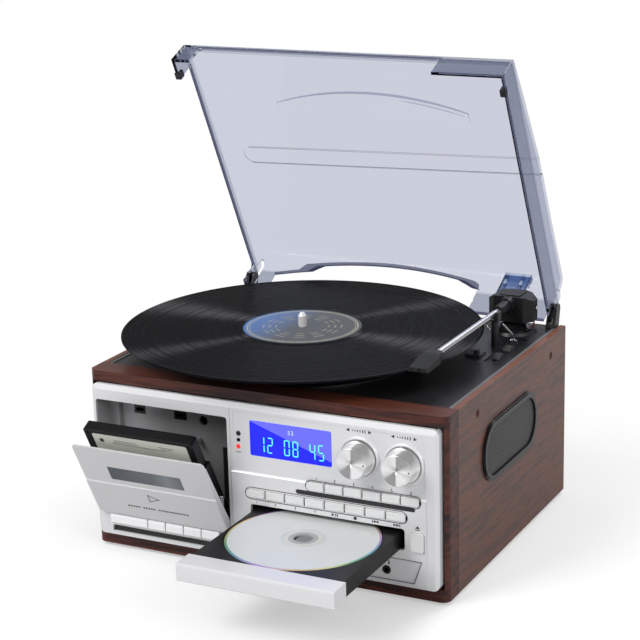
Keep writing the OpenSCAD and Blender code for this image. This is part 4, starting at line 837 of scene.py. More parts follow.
label_foot, label_face, label_edge = RECORD_TOP - 0.05, RECORD_TOP + 0.12, LABEL_R - 0.5
label_profile = [(SPINDLE_R, label_foot), (label_edge, label_foot), (label_edge, label_face - 0.05),
                 (label_edge - 0.1, label_face), (SPINDLE_R, label_face)]
spun_piece("record_label", label_profile, on_record, "turntable", label_paper(), 128, smooth=False)
print("label", 2 * label_edge, "mm across, on the record's face at", RECORD_TOP, "mm")

# %% [markdown]
# ## Disc
# The disc is a mirror under clear plastic, mostly hidden by a pale print. Only a thin rim and the
# hub stay bare, and there the fine track splits the light into colours. The colours are fixed to
# the disc here, as a slow rainbow over the angle, so they look the same from everywhere.

# %% Disc finish
DISC_MIDDLE = (57.7, 73.7, 54.0)
DISC_R = 60.0


def disc_finish():
    """By radius: clear grey hub, mirror ring, pale print, then a rainbow rim."""
    made = material("disc_print", (0.66, 0.68, 0.67), 0.35, 0.05, Coat_Weight=0.15, Coat_Roughness=0.1)
    tree = made.node_tree
    shader = shader_of(made)
    polar = use_group(tree, POLAR, Centre=tuple(on_tray(DISC_MIDDLE)))
    radius, angle = polar.outputs["Radius"], polar.outputs["Angle"]
    rainbow = ramp(tree, math_node(tree, "FRACT", math_node(tree, "MULTIPLY_ADD", angle, 3.0, 0.1)),
                   [(0.0, (0.80, 0.55, 0.25)), (0.2, (0.75, 0.70, 0.30)), (0.4, (0.20, 0.55, 0.30)),
                    (0.6, (0.20, 0.45, 0.65)), (0.8, (0.45, 0.25, 0.60)), (1.0, (0.80, 0.55, 0.25))])
    zones = ramp(tree, math_node(tree, "DIVIDE", radius, DISC_R * MM),
                 [(0.0, (0.30, 0.31, 0.31)), (0.19, (0.42, 0.44, 0.44)), (0.20, (0.70, 0.68, 0.60)),
                  (0.27, (0.62, 0.64, 0.63)), (0.31, (0.70, 0.73, 0.715)), (0.96, (0.70, 0.73, 0.715)),
                  (0.975, (0.60, 0.61, 0.60))])
    rim = math_node(tree, "GREATER_THAN", radius, (DISC_R - 2.0) * MM)
    tree.links.new(mixed(tree, rim, zones, rainbow), shader.inputs["Base Color"])
    tree.links.new(math_node(tree, "MULTIPLY_ADD", rim, 0.5, 0.05), shader.inputs["Metallic"])
    return made


dress(disc_finish(), "disc")
print("disc", 2 * DISC_R, "mm across")

# %% [markdown]
# ## Clear cover
# The cover is one moulding of clear plastic with a faint blue tint. Real clear plastic shows its
# tint only where one looks through much of it: at the rims and along the walls. The finish passes
# light through, and masks turn its colour to a deep blue at cut edges and creases: painted shade
# for the light that these edges and creases bend away. The masks are drawn in the shut cover's own
# millimetres, so the moulding stays one piece with one finish.

# %% Masks from places
def near(tree, value, target, reach):
    """1 where a value lies within reach of a target."""
    return math_node(tree, "COMPARE", value, target, reach)


def both(tree, *masks):
    """1 where every mask is 1: their product."""
    product = masks[0]
    for mask in masks[1:]:
        product = math_node(tree, "MULTIPLY", product, mask)
    return product


def either(tree, *masks):
    """The largest of several masks."""
    largest = masks[0]
    for mask in masks[1:]:
        largest = math_node(tree, "MAXIMUM", largest, mask)
    return largest


def below(tree, value, limit):
    """1 where a value is less than a limit."""
    return math_node(tree, "LESS_THAN", value, limit)


def above(tree, value, limit):
    """1 where a value is more than a limit."""
    return math_node(tree, "GREATER_THAN", value, limit)


def within(tree, value, middle, reach):
    """1 where a value lies less than reach from a middle, told by the size of their difference."""
    return below(tree, math_node(tree, "ABSOLUTE", math_node(tree, "SUBTRACT", value, middle)), reach)


print("masks are numbers from 0 to 1, joined by their product or their largest")

# %% Masks on the cover
HINGE_IN_COVER = (0.0, 7.0, 13.7)


def cover_place(tree):
    """The shut cover's own millimetres: shifted to the hinge, turned back by the lean, shifted to the rim."""
    away = add(tree, "ShaderNodeVectorMath", operation="SUBTRACT")
    tree.links.new(object_place(tree), away.inputs[0])
    away.inputs[1].default_value = Vector((float(ORIGIN[0]), *JOINTS["cover_hinge"]["pos_m"][1:]))
    back = add(tree, "ShaderNodeVectorRotate", rotation_type="X_AXIS")
    back.inputs["Angle"].default_value = COVER_LEAN
    tree.links.new(away.outputs[0], back.inputs["Vector"])
    scaled = add(tree, "ShaderNodeVectorMath", operation="SCALE", Scale=1000.0)
    tree.links.new(back.outputs[0], scaled.inputs[0])
    placed = add(tree, "ShaderNodeVectorMath", operation="ADD")
    placed.inputs[1].default_value = HINGE_IN_COVER
    tree.links.new(scaled.outputs[0], placed.inputs[0])
    return placed.outputs[0], place_axes(tree, placed.outputs[0])


def web_mask(tree, place, x):
    """The ribbed web by the arm: a box, and narrow lines at its two edges and its four ribs."""
    web = use_group(tree, BOX_MASK, vector=place, Middle=(108.0, -0.5, 21.0), Half=(12.6, 3.4, 21.0),
                    Soft=0.2)
    lines = [near(tree, x, edge, 0.5) for edge in (96.3, 119.7)]
    lines += [near(tree, x, rib, 0.25) for rib in (97.6, 99.1, 112.1, 113.6)]
    return web.outputs["Mask"], both(tree, either(tree, *lines), web.outputs["Mask"])


def edge_mask(tree, x, y, n):
    """Cut edges and creases: the rim, the upper edges of two cut-outs, the front crease and the arch rib."""
    low_front = both(tree, below(tree, y, -241.9), within(tree, x, -22.0, 112.0))
    low_left = both(tree, below(tree, x, -146.4), above(tree, y, -226.0))
    notch = both(tree, near(tree, n, 20.9, 0.8), either(tree, low_front, low_left))
    crease = both(tree, near(tree, n, 24.2, 0.5), below(tree, y, -239.0))
    up = math_node(tree, "ADD", n, 352.0)
    across = math_node(tree, "ADD", x, 14.0)
    reach = math_node(tree, "SQRT", math_node(tree, "ADD", math_node(tree, "MULTIPLY", up, up),
                                              math_node(tree, "MULTIPLY", across, across)))
    arch = both(tree, near(tree, reach, 391.6, 0.8), above(tree, y, -3.0), within(tree, x, -28.0, 100.8))
    return either(tree, below(tree, n, 1.0), notch, crease, arch)


def groove_mask(tree, x, y, n):
    """The pressed groove: two narrow lines that slope a little towards the right."""
    level = math_node(tree, "SUBTRACT", y, math_node(tree, "MULTIPLY", x, -0.0355))
    lines = either(tree, near(tree, level, -112.0, 0.33), near(tree, level, -129.0, 0.33))
    return both(tree, lines, above(tree, n, 37.0), above(tree, x, -128.0))


print("hinge axis is", HINGE_IN_COVER[2], "mm above the shut cover's rim")

# %% Cover finish
def cover_finish():
    """Clear plastic: pale on the top, bluer on the walls and the web, with painted shade near black along
    every cut edge and crease, and dark in the pressed groove.
    """
    made = material("clear_cover", (0.61, 0.63, 0.72), 0.05, Transmission_Weight=1.0, IOR=1.15)
    tree = made.node_tree
    place, (x, y, n) = cover_place(tree)
    web, web_lines = web_mask(tree, place, x)
    tint = mixed(tree, below(tree, n, 24.5), (0.61, 0.63, 0.72), (0.36, 0.385, 0.47))
    tint = mixed(tree, web, tint, (0.26, 0.34, 0.54))
    # Painted shade: dark lines along the pressed groove.
    tint = mixed(tree, both(tree, groove_mask(tree, x, y, n), 0.75), tint, (0.06, 0.065, 0.08))
    # Painted shade: cut edges, creases and the web's ribs turn near black.
    edges = either(tree, edge_mask(tree, x, y, n), both(tree, web_lines, 0.8))
    tree.links.new(mixed(tree, both(tree, edges, 0.95), tint, (0.012, 0.016, 0.05)),
                   shader_of(made).inputs["Base Color"])
    frost = use_group(tree, BOX_MASK, vector=place, Middle=(10.0, -100.0, 40.0), Half=(137.0, 88.0, 12.0),
                      Soft=1.0)
    grain = use_group(tree, GRAIN, Scale=1500.0)
    bump(made, both(tree, grain.outputs["Height"], frost.outputs["Mask"]), 0.35, 0.00003)
    return made


dress(cover_finish(), "dust_cover")
print("cover masks turned back by", round(math.degrees(COVER_LEAN), 1), "degrees")

# %% [markdown]
# ## Display
# The display glows a deep blue. Thin pale bars light up on it as figures. A slanted reflection
# crosses the window from its upper left to its lower right; here it belongs to the window's own
# colour, as a lighter field printed into the blue, because a real one would need a lamp or a card
# placed for one view only. Figures could be set in a typeface; seven bars are simpler and truer.

# %% Display glow
DISPLAY_X = (-7.2, 63.9)
DISPLAY_Z = (99.0, 127.8)


def display_blue():
    """Blue glow, lighter above a slanted line from corner to corner."""
    made = material("display_blue", (0.004, 0.006, 0.25), 0.12)
    tree = made.node_tree
    shader = shader_of(made)
    _, _, z = place_axes(tree)
    low, height = float(on_cabinet([0, 0, DISPLAY_Z[0]])[2]), (DISPLAY_Z[1] - DISPLAY_Z[0]) * MM
    up = math_node(tree, "DIVIDE", math_node(tree, "SUBTRACT", z, low), height)
    slant = math_node(tree, "MULTIPLY_ADD", along_width(tree, *DISPLAY_X), 0.85, up)
    glow = mixed(tree, above(tree, slant, 0.98), (0.0, 0.003, 1.0), (0.155, 0.165, 1.0))
    tree.links.new(glow, shader.inputs["Emission Color"])
    shader.inputs["Emission Strength"].default_value = 0.92
    return made


dress(display_blue(), "display_window")
print("display in mm:", np.round([DISPLAY_X[1] - DISPLAY_X[0], DISPLAY_Z[1] - DISPLAY_Z[0]], 1))

# %% Figures
FIGURE_GLOW = material("figure_glow", (0.05, 0.5, 0.6), 0.4, Emission_Color=(0.10, 0.75, 1.0, 1.0),
                       Emission_Strength=0.95)
PALE_GLOW = material("pale_glow", (0.3, 0.4, 0.6), 0.4, Emission_Color=(0.50, 0.62, 1.0, 1.0),
                     Emission_Strength=0.95)
SEGMENTS = {"0": "abcdef", "1": "bc", "2": "abged", "3": "abgcd", "4": "fgbc", "5": "afgcd",
            "6": "afgedc", "7": "abc", "8": "abcdefg", "9": "abcdfg"}


def segment_box(which, x, z, w, h, t):
    """The box of one of a figure's seven bars, from the figure's lower left corner and size."""
    half = h / 2
    upright = {"f": (x, z + half), "b": (x + w - t, z + half), "e": (x, z), "c": (x + w - t, z)}
    level = {"a": z + h - t, "g": z + half - t / 2, "d": z}
    if which in upright:
        px, pz = upright[which]
        return (px, px + t), (pz + 0.7 * t, pz + half - 0.7 * t)
    return (x + 0.9 * t, x + w - 0.9 * t), (level[which], level[which] + t)


def oblong(x, z):
    """Outline of a rectangle between two places along x and two along z."""
    return [(x[0], z[0]), (x[1], z[0]), (x[1], z[1]), (x[0], z[1])]


def figure_bars(text, x, z, w, h, t, pitch):
    """Outlines of every bar of a row of figures."""
    return [oblong(*segment_box(which, x + place * pitch, z, w, h, t))
            for place, figure in enumerate(text) for which in SEGMENTS.get(figure, "")]


WINDOW_FACE = -4.62
large = figure_bars("12 08 45", 0.6, 102.6, 5.0, 13.0, 0.9, 7.4)
small = figure_bars("33", 26.0, 120.2, 2.0, 3.4, 0.4, 3.0)
for name, bars, glow in (("display_figures", large, FIGURE_GLOW),
                         ("display_small_figures", small, PALE_GLOW)):
    plates = [(outline, WINDOW_FACE, WINDOW_FACE + 0.15) for outline in bars]
    flat_sheet(name, plates, on_cabinet, "cabinet", glow)
    print(name, "has", len(bars), "bars")

# %% [markdown]
# ## Knobs
# Both knobs are turned from bar: a waisted side with a polished edge and a face that was cut with
# a fine tool. The cut leaves rings, and rings on metal throw opposite bright fans; here the fans are
# painted highlights in the metal's colour. A profile with rounded edges is turned round the knob's
# axis and replaces the plainer solid knob.

# %% Knobs
KNOBS = {"tuning": (87.4, 110.3), "volume": (124.8, 110.0)}
KNOB_FOOT = -5.0
DOT_FROM_AXIS = 10.6


def spun_metal(name, centre):
    """Fine rings from the distance to the axis, and painted highlights: bright and grey fans of tone over the
    angle.
    """
    made = material(name, (0.72, 0.72, 0.73), 0.28, 0.45)
    tree = made.node_tree
    shader = shader_of(made)
    upright = add(tree, "ShaderNodeMapping", vector_type="POINT")
    upright.inputs["Rotation"].default_value = (math.radians(-90), 0.0, 0.0)
    tree.links.new(object_place(tree), upright.inputs["Vector"])
    x, _, z = centre
    polar = use_group(tree, POLAR, vector=upright.outputs[0], Centre=(x, z, 0.0))
    # Painted highlights: bright and grey fans as tones of the metal's colour round the axis.
    fans = [(0.0, 0.93), (0.07, 0.75), (0.12, 0.36), (0.235, 0.34), (0.26, 0.92), (0.38, 0.97), (0.46, 0.70),
            (0.50, 0.98), (0.555, 0.62), (0.60, 0.38), (0.735, 0.36), (0.76, 0.92), (0.90, 0.80), (1.0, 0.93)]
    tree.links.new(ramp(tree, polar.outputs["Angle"], [(place, (tone,) * 3) for place, tone in fans]),
                   shader.inputs["Base Color"])
    rings = math_node(tree, "SINE", math_node(tree, "MULTIPLY", polar.outputs["Radius"], 24000.0))
    bump(made, rings, 0.04, 0.00001)
    return made


def knob_profile():
    """Radius and distance forward of the panel: skirt, waist, cap with round shoulders, flat face."""
    shoulder = arc((11.4, 13.8), 1.2, 0, 90, 7)
    waist = [(13.9, 0.4), (14.3, 0.8), (14.3, 2.6), (13.9, 3.2), (13.2, 3.4), (12.75, 4.0), (12.6, 5.0)]
    return np.array([(0.02, 0.4)] + waist + shoulder.tolist() + [(6.0, 15.0), (0.02, 15.0)])


for label, (x, z) in KNOBS.items():
    def stand_forward(points, x=x, z=z):
        """Turns the spun profile so that its axis points to -Y, at the knob's place."""
        return on_cabinet(np.stack([points[..., 0] + x, KNOB_FOOT - points[..., 2], points[..., 1] + z], -1))

    finish = spun_metal(f"spun_metal_{label}", on_cabinet([x, 0, z]))
    knob = spun_piece(f"{label}_cap", knob_profile(), stand_forward, label, finish, 128)
    turn_outwards(knob)
    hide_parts(f"{label}_knob")
    dot = spun_piece(f"{label}_dot", [(0.02, 14.9), (0.7, 14.9), (0.7, 15.05), (0.02, 15.05)],
                     lambda points: stand_forward(points + np.array([DOT_FROM_AXIS, 0.0, 0.0])), label,
                     GLOSS_BLACK, 20)
    turn_outwards(dot)
print("knobs turned")

# %% [markdown]
# ## Printed signs
# The panel carries small printed signs. Plain numbers, arrows and bars stand at the controls. They
# could be painted by masks in the panel's finish, but so many small masks make a slow material.
# Each sign is a plate a tenth of a millimetre thick instead, so that it catches no visible edge,
# and all of them are gathered into one mesh.

# %% Outlines of the signs
# Ink of the printed signs; the same dark also serves as painted shade in the lines round the button rows and
# the jacks' field.
INK_AND_SHADE = material("ink_and_painted_shade", (0.02, 0.02, 0.022), 0.5)
FIELD_Y = -4.4
RAISED_Y = -5.8
KNOB_SIGN_UP = 21.3
UPPER_SIGN_Z = 87.6
LOWER_SIGN_Z = 60.6
sign_plates = []


def stamp(outline, y):
    """Adds one flat sign on the face at y to the sheet of signs."""
    sign_plates.append((outline, y - 0.08, y + 0.05))


def triangle(x, z, size, way=1):
    """Outline of an arrow head that points to +X, or to -X when way is -1."""
    return [(x - way * size / 2, z - size / 2), (x + way * size / 2, z), (x - way * size / 2, z + size / 2)]


def bar(x, z, w, h):
    """Outline of a rectangle from its middle, its width and its height."""
    return oblong((x - w / 2, x + w / 2), (z - h / 2, z + h / 2))


def number(figure, x, z, h, y):
    """One small figure built from the same seven bars as the display's."""
    for outline in figure_bars(figure, x - h * 0.3, z - h / 2, h * 0.6, h, h * 0.2, 0.0):
        stamp(outline, y)


print("an arrow head has", len(triangle(0, 0, 1)), "corners and a bar", len(bar(0, 0, 1, 1)))

# %% Signs at the knobs and buttons
for x, z in KNOBS.values():
    stamp(triangle(x - 9.3, z + KNOB_SIGN_UP, 2.8, -1), FIELD_Y)
    stamp(triangle(x + 9.3, z + KNOB_SIGN_UP, 2.8), FIELD_Y)
    for k in range(6):
        stamp(bar(x + (k - 2.5) * 2.1, z + KNOB_SIGN_UP, 0.8, 1.0 + 0.3 * k), FIELD_Y)
upper, lower = ([start + pitch * (i + 0.5) for i in range(count)]
                for (start, pitch), count in ((UPPER_ROW, 6), (LOWER_ROW, 8)))
for i, x in enumerate(upper):
    number(str(i + 1), x, UPPER_SIGN_Z, 2.7, FIELD_Y)
for i, x in enumerate(lower[:4]):
    number(str(i + 1), x, LOWER_SIGN_Z, 2.5, RAISED_Y)
play, stop, skip_back, skip_on = lower[4:]
stamp(triangle(play - 1.6, LOWER_SIGN_Z, 2.6), RAISED_Y)
stamp(bar(play + 0.7, LOWER_SIGN_Z, 0.7, 2.6), RAISED_Y)
stamp(bar(play + 2.1, LOWER_SIGN_Z, 0.7, 2.6), RAISED_Y)
stamp(bar(stop, LOWER_SIGN_Z, 2.5, 2.5), RAISED_Y)
for x, way in ((skip_back, -1), (skip_on, 1)):
    stamp(triangle(x - 1.3, LOWER_SIGN_Z, 2.4, way), RAISED_Y)
    stamp(triangle(x + 1.1, LOWER_SIGN_Z, 2.4, way), RAISED_Y)
    stamp(bar(x + 2.8 * way, LOWER_SIGN_Z, 0.6, 2.4), RAISED_Y)
stamp([(133.9, 60.4), (137.7, 60.4), (135.8, 62.6)], RAISED_Y)
stamp(bar(135.8, 59.3, 3.8, 0.7), RAISED_Y)
print("signs so far:", len(sign_plates), "plates")

# %% Signs at the jacks and the sheet of signs
JACK_Y = -4.9
JACK_SIGN_X = 109.1
outside, inside = (arc((JACK_SIGN_X, 28.6), radius, 0, 180, 12).tolist() for radius in (2.5, 1.9))
for k in range(11):
    stamp([outside[k], outside[k + 1], inside[k + 1], inside[k]], JACK_Y)
for way in (-1, 1):
    stamp(bar(JACK_SIGN_X + 2.0 * way, 28.0, 1.3, 2.0), JACK_Y)
stamp(bar(-17.9, 99.9, 4.6, 0.5), FIELD_Y)
flat_sheet("panel_signs", sign_plates, on_cabinet, "cabinet", INK_AND_SHADE)
print("signs:", len(sign_plates), "plates")

# %% [markdown]
# ## Lines on the panel
# A dark bar divides the two rows of buttons, a thin line runs round each row, and another round the
# field of the jacks. The lines are painted shade: they lie on the edges of the rows' slots and of the
# jacks' sunk field, where the gaps and the bevel fall into shade. A line could be a thin tube, but its
# round back would shine; a flat frame with an outer and an inner outline stays dark from every side.

# %% Bar and frames
LINE_Y = (-5.9, -5.7)
BAR_Y = (-5.55, -5.2)


def capsule_outline(low, high, middle, reach, steps=14):
    """A lying capsule from low to high with half height reach, as a loop of points."""
    return np.concatenate([arc((high - reach, middle), reach, -90, 90, steps),
                           arc((low + reach, middle), reach, 90, 270, steps)])


flat_sheet("row_bar", [(capsule_outline(32.55, 133.95, 75.05, 1.9, 10), *BAR_Y)], on_cabinet, "cabinet", INK_AND_SHADE)
# Painted shade: dark frames on the edges of the rows' slots and of the jacks' sunk field.
for label, low, high, middle in (("upper", 41.5, 138.5, 81.3), ("lower", -12.0, 127.2, 67.5)):
    framed_plate(f"row_shade_line_{label}", capsule_outline(low - 0.55, high + 0.55, middle, 5.2),
                 capsule_outline(low, high, middle, 4.65), *LINE_Y, on_cabinet, "cabinet", INK_AND_SHADE)
framed_plate("jack_field_shade_line", [(84.0, 33.5), (139.3, 33.5), (133.0, 14.4), (78.0, 14.4)],
             [(84.7, 33.0), (138.6, 33.0), (132.6, 14.9), (78.7, 14.9)], *LINE_Y, on_cabinet, "cabinet", INK_AND_SHADE)
print("bar and three frames lie between", LINE_Y[0], "and", BAR_Y[1], "mm")

# %% [markdown]
# ## Eye, small window and lamp
# Left of the display are a round eye, a small dark window and a red lamp. The two round ones are
# low domes. A scaled ball could stand for them; a profile turned round their axis gives an even
# curve and a flat foot with few faces.

# %% Domes and small window
DOME_FOOT = -4.3
LAMP_RED = material("lamp_red", (0.75, 0.02, 0.02), 0.25, Emission_Color=(1.0, 0.03, 0.02, 1.0),
                    Emission_Strength=0.7)
for label, x, z, r, finish in (("sensor_eye", -17.5, 115.5, 2.1, GLOSS_BLACK),
                               ("power_lamp", -17.9, 104.6, 1.9, LAMP_RED)):
    def on_face(points, x=x, z=z):
        """Turns a spun dome so that its axis points forward out of the panel."""
        return on_cabinet(np.stack([points[..., 0] + x, DOME_FOOT - points[..., 2], points[..., 1] + z], -1))

    dome = spun_piece(label, [(0.02, 0.0), (r, 0.0), (r, 0.3), (r * 0.8, 0.7), (r * 0.4, 0.95), (0.02, 1.0)],
                      on_face, "cabinet", finish, 28)
    turn_outwards(dome)
window = round_box((-19.1, -16.1), (108.8, 111.4), 0.4)
flat_sheet("small_window", [(window, DOME_FOOT - 0.3, DOME_FOOT)], on_cabinet, "cabinet", GLOSS_BLACK)
print("eye, window and lamp made")

# %% [markdown]
# ## Cassette
# The cassette is a plain black shell with a cream paper label round the window between its hubs.
# The label lies in the shell's shallow field, so it is a thin plate with a hole for the window, and
# a few dark lines are printed on it. It rides on the tape, which can be drawn out of its pocket.

# %% Cassette label
DOOR_MIDDLE = -88.5
TAPE_FACE = 3.8
TAPE_LOW = 61.5
HUB_Z = 95.7


def paper_label():
    """Cream paper: the fine grain lifts its surface a little, the slow noise changes its tint."""
    made = material("cream_paper", (0.66, 0.68, 0.60), 0.55)
    tree = made.node_tree
    grain = use_group(tree, GRAIN, Scale=1800.0)
    bump(made, grain.outputs["Height"], 0.15, 0.00003)
    tone = mixed(tree, grain.outputs["Patches"], (0.62, 0.64, 0.56), (0.72, 0.73, 0.65))
    tree.links.new(tone, shader_of(made).inputs["Base Color"])
    return made


PAPER = paper_label()
label_outer = round_box((DOOR_MIDDLE - 43.5, DOOR_MIDDLE + 43.5), (TAPE_LOW + 19.8, TAPE_LOW + 59.0), 1.8)
label_inner = round_box((DOOR_MIDDLE - 31.0, DOOR_MIDDLE + 31.0), (HUB_Z - 7.2, HUB_Z + 7.2), 3.0)
framed_plate("cassette_label", label_outer, label_inner, TAPE_FACE + 0.22, TAPE_FACE + 0.42, on_door,
             "tape", PAPER)
printed = [(-14.0, 13.6, 20.0), (-14.0, 11.8, 24.0), (-2.0, 10.0, 48.0), (24.0, 13.6, 14.0),
           (24.0, 11.8, 10.0), (-36.0, 12.0, 3.6)]
for k, (x, z, wide) in enumerate(printed):
    outline = bar(DOOR_MIDDLE + x, HUB_Z + z + 6.0, wide, 0.45 if wide > 4 else 3.6)
    flat_sheet(f"label_line_{k + 1}", [(outline, TAPE_FACE + 0.18, TAPE_FACE + 0.3)], on_door, "tape", INK_AND_SHADE)
print("label and", len(printed), "printed lines")

# %% [markdown]
# ## Cassette door
# The door has a smoked window, an outlined arrow with a row of dashes below it, and a coil spring at
# its right side. They are drawn on the shut door and leaned out with it, so they need no numbers of
# their own for the lean. A spring is a helix: a circle whose middle moves along a line.

# %% Door window, mark and spring
def smoked_window():
    """Smoked clear plastic that lets some light pass, with a paler patch told by the place along X."""
    made = material("door_smoke", (0.30, 0.33, 0.36), 0.10, Transmission_Weight=0.35, IOR=1.4)
    tree = made.node_tree
    tone = ramp(tree, along_width(tree, -120, -56), [(0.0, (0.13, 0.15, 0.17)), (0.6, (0.22, 0.245, 0.27)),
                                                     (0.8, (0.36, 0.39, 0.42)), (1.0, (0.24, 0.26, 0.29))])
    tree.links.new(tone, shader_of(made).inputs["Base Color"])
    return made


dress(smoked_window(), "door_window")
DOOR_FACE = -6.0
outer = np.array([(-4.8, -4.2), (6.2, 0.0), (-4.8, 4.2)])
inner = np.array([(-4.15, -3.2), (4.4, 0.0), (-4.15, 3.2)])
framed_plate("door_mark", outer + [DOOR_MIDDLE, 62.0], inner + [DOOR_MIDDLE, 62.0], DOOR_FACE - 0.08,
             DOOR_FACE + 0.1, on_door, "cassette_door", INK_AND_SHADE)
dashes = [bar(DOOR_MIDDLE + (k - 11.5) * 2.4, 48.8, 1.5, 1.7) for k in range(24) if k not in (5, 11)]
flat_sheet("door_dashes", [(dash, DOOR_FACE - 0.08, DOOR_FACE + 0.05) for dash in dashes], on_door,
           "cassette_door", INK_AND_SHADE)
SPRING_TURNS = 9
along = np.linspace(0, 1, 220)
turns = along * SPRING_TURNS * 2 * np.pi
spring = np.column_stack([-33.0 + 2.0 * np.cos(turns), 0.1 + 7.9 * along + 1.8 * np.sin(turns),
                          47.5 + 15.0 * along - 0.9 * np.sin(turns)])
wire_piece("door_spring", spring, 0.5, on_door, "cassette_door", CHROME, 8)
print("door window, mark and spring made")

# %% [markdown]
# ## Speaker mesh
# Behind each bezel lies a woven mesh. It is one sheet whose height rises and falls like threads
# that pass over and under each other: along each thread the height follows a cosine, and the two
# directions take turns on top. Single wires could be woven too, but they would cost more faces.
# The finish paints shade into the gaps between the threads by the same kind of wave.

# %% Woven mesh
SPEAKER_Y = (74.8, 182.7)
SPEAKER_Z = (73.8, 114.2)
SPEAKER_END = 18.7
THREAD_PITCH = 1.9
MESH_X = 158.3
MESH_FRAME = 1.0
MESH_BOW = 1.3
MESH_ROWS, MESH_COLUMNS = 300, 110


def mesh_cloth(side):
    """Threads over an oblong: x is the larger of two crossed threads' round backs, plus a slight bow."""
    low, high = SPEAKER_Y
    turn = np.linspace(0, np.pi, MESH_ROWS)
    y = (low + high) / 2 - (high - low) / 2 * np.cos(turn) * 0.9999
    deep = np.clip(SPEAKER_END - np.minimum(y - low, high - y), 0, SPEAKER_END)
    middle, half = sum(SPEAKER_Z) / 2, (SPEAKER_Z[1] - SPEAKER_Z[0]) / 2
    reach = half - SPEAKER_END + np.sqrt(SPEAKER_END ** 2 - deep ** 2)
    across = np.linspace(-1, 1, MESH_COLUMNS)
    yy = np.repeat(y[:, None], MESH_COLUMNS, axis=1)
    zz = middle + reach[:, None] * across[None, :]
    waves = np.cos(np.pi * yy / THREAD_PITCH), np.cos(np.pi * zz / THREAD_PITCH)
    over = waves[0] * waves[1]
    warp = np.abs(waves[0]) + 0.35 * over
    weft = np.abs(waves[1]) - 0.35 * over
    bow = (1 - ((yy - y.mean()) / 55) ** 2) * (1 - across[None, :] ** 2)
    x = side * (MESH_X + 0.35 * np.maximum(warp, weft) + MESH_BOW * bow)
    return np.stack([x, yy, zz], -1)


print("mesh in mm:", np.round([SPEAKER_Y[1] - SPEAKER_Y[0], SPEAKER_Z[1] - SPEAKER_Z[0]], 1))

# %% Mesh finish and pieces
def mesh_finish():
    """Grey threads with painted shade in the gaps between them: the product of two waves along Y and Z tells
    how near a gap is.
    """
    made = grained(material("mesh_grey", (0.060, 0.060, 0.063), 0.45), 1500.0, 0.2, 0.00004)
    tree = made.node_tree
    _, y, z = place_axes(tree)
    waves = [math_node(tree, "COSINE", math_node(tree, "MULTIPLY", axis, math.pi / (THREAD_PITCH * MM)))
             for axis in (y, z)]
    # Painted shade: near black where a gap lies between the threads.
    gap = above(tree, both(tree, *waves), 0.05)
    tree.links.new(mixed(tree, gap, (0.075, 0.075, 0.078), (0.012, 0.012, 0.013)),
                   shader_of(made).inputs["Base Color"])
    return made


MESH_GREY = mesh_finish()
for side, label in ((1, "right"), (-1, "left")):
    points = mesh_cloth(side).reshape(-1, 3)
    index = np.arange(len(points)).reshape(MESH_ROWS, MESH_COLUMNS)
    rim = np.concatenate([index[:, 0], index[-1, 1:], index[-2::-1, -1], index[0, -2:0:-1]]).tolist()
    back = points[rim].copy()
    back[:, 0] = side * (MESH_X - MESH_FRAME)
    start, count = len(points), len(rim)
    faces = grid_faces(MESH_ROWS, MESH_COLUMNS)
    faces += [[rim[k], rim[(k + 1) % count], start + (k + 1) % count, start + k] for k in range(count)]
    faces.append([start + k for k in range(count)])
    points = on_cabinet(np.concatenate([points, back]))
    turn_outwards(make_piece(f"speaker_mesh_{label}", points, faces, "cabinet", MESH_GREY))
print("meshes woven")

# %% [markdown]
# ## Small things on the deck
# The arm's pivot shows as a pale dot on each side of its block, and a red lead drops from it to
# the deck. A bent wire clip belongs to the arm's rest. Wires are curves with few bends, so a circle
# carried along a soft path through four points is enough.

# %% Arm details
ARM = (121.0, 235.0, 171.5)
BLOCK_HALF = 20.35
for side, label in ((1, "right"), (-1, "left")):
    def on_block(points, side=side):
        """Turns a spun piece so that its axis points out of the block's side."""
        return on_cabinet(np.stack([ARM[0] + side * (BLOCK_HALF + points[..., 2]),
                                    ARM[1] + side * points[..., 0], ARM[2] + points[..., 1]], -1))

    dot = spun_piece(f"pivot_dot_{label}", [(0.02, 0.0), (1.5, 0.0), (1.5, 0.25), (1.1, 0.45), (0.02, 0.5)],
                     on_block, "arm", WHITE_PLASTIC, 24)
    turn_outwards(dot)
lead = smooth_path([(131.0, 246.5, 166.0), (133.0, 248.5, 160.0), (134.0, 249.0, 154.0),
                    (133.0, 249.5, 149.5)], 30)
clip = smooth_path([(123.0, 181.5, 173.2), (119.0, 181.0, 172.0), (117.5, 181.0, 168.0),
                    (121.0, 181.2, 164.0)], 26)
wire_piece("arm_lead", lead, 0.7, on_cabinet, "cabinet", RED_PLASTIC)
wire_piece("rest_clip", clip, 0.5, on_cabinet, "cabinet", CHROME)
print("arm details made")

# %% [markdown]
# ## Camera
# The camera stands where the photographer stood, a little above the set and to its right. Its
# place, turn and focal length were worked out from standard sizes in the picture: a record, a
# disc and a cassette. The focal length is kept in picture points, for a picture 640 points wide.

# %% Camera
PICTURE = 640
SENSOR = 36.0
AZIMUTH, ELEVATION, ROLL = (math.radians(a) for a in (27.1, 16.11, -1.48))
FOCUS = 1864.21
MIDDLE_POINT = (316.56, 319.46)
EYE = (667.92, -1204.17, 605.33)


def view_axes():
    """Right, up and back of a camera from its azimuth, elevation and roll."""
    back = np.array([math.sin(AZIMUTH) * math.cos(ELEVATION), -math.cos(AZIMUTH) * math.cos(ELEVATION),
                     math.sin(ELEVATION)])
    right = np.cross(-back, [0, 0, 1])
    right /= np.linalg.norm(right)
    up = np.cross(right, -back)
    c, s = math.cos(ROLL), math.sin(ROLL)
    return right * c + up * s, -right * s + up * c, back


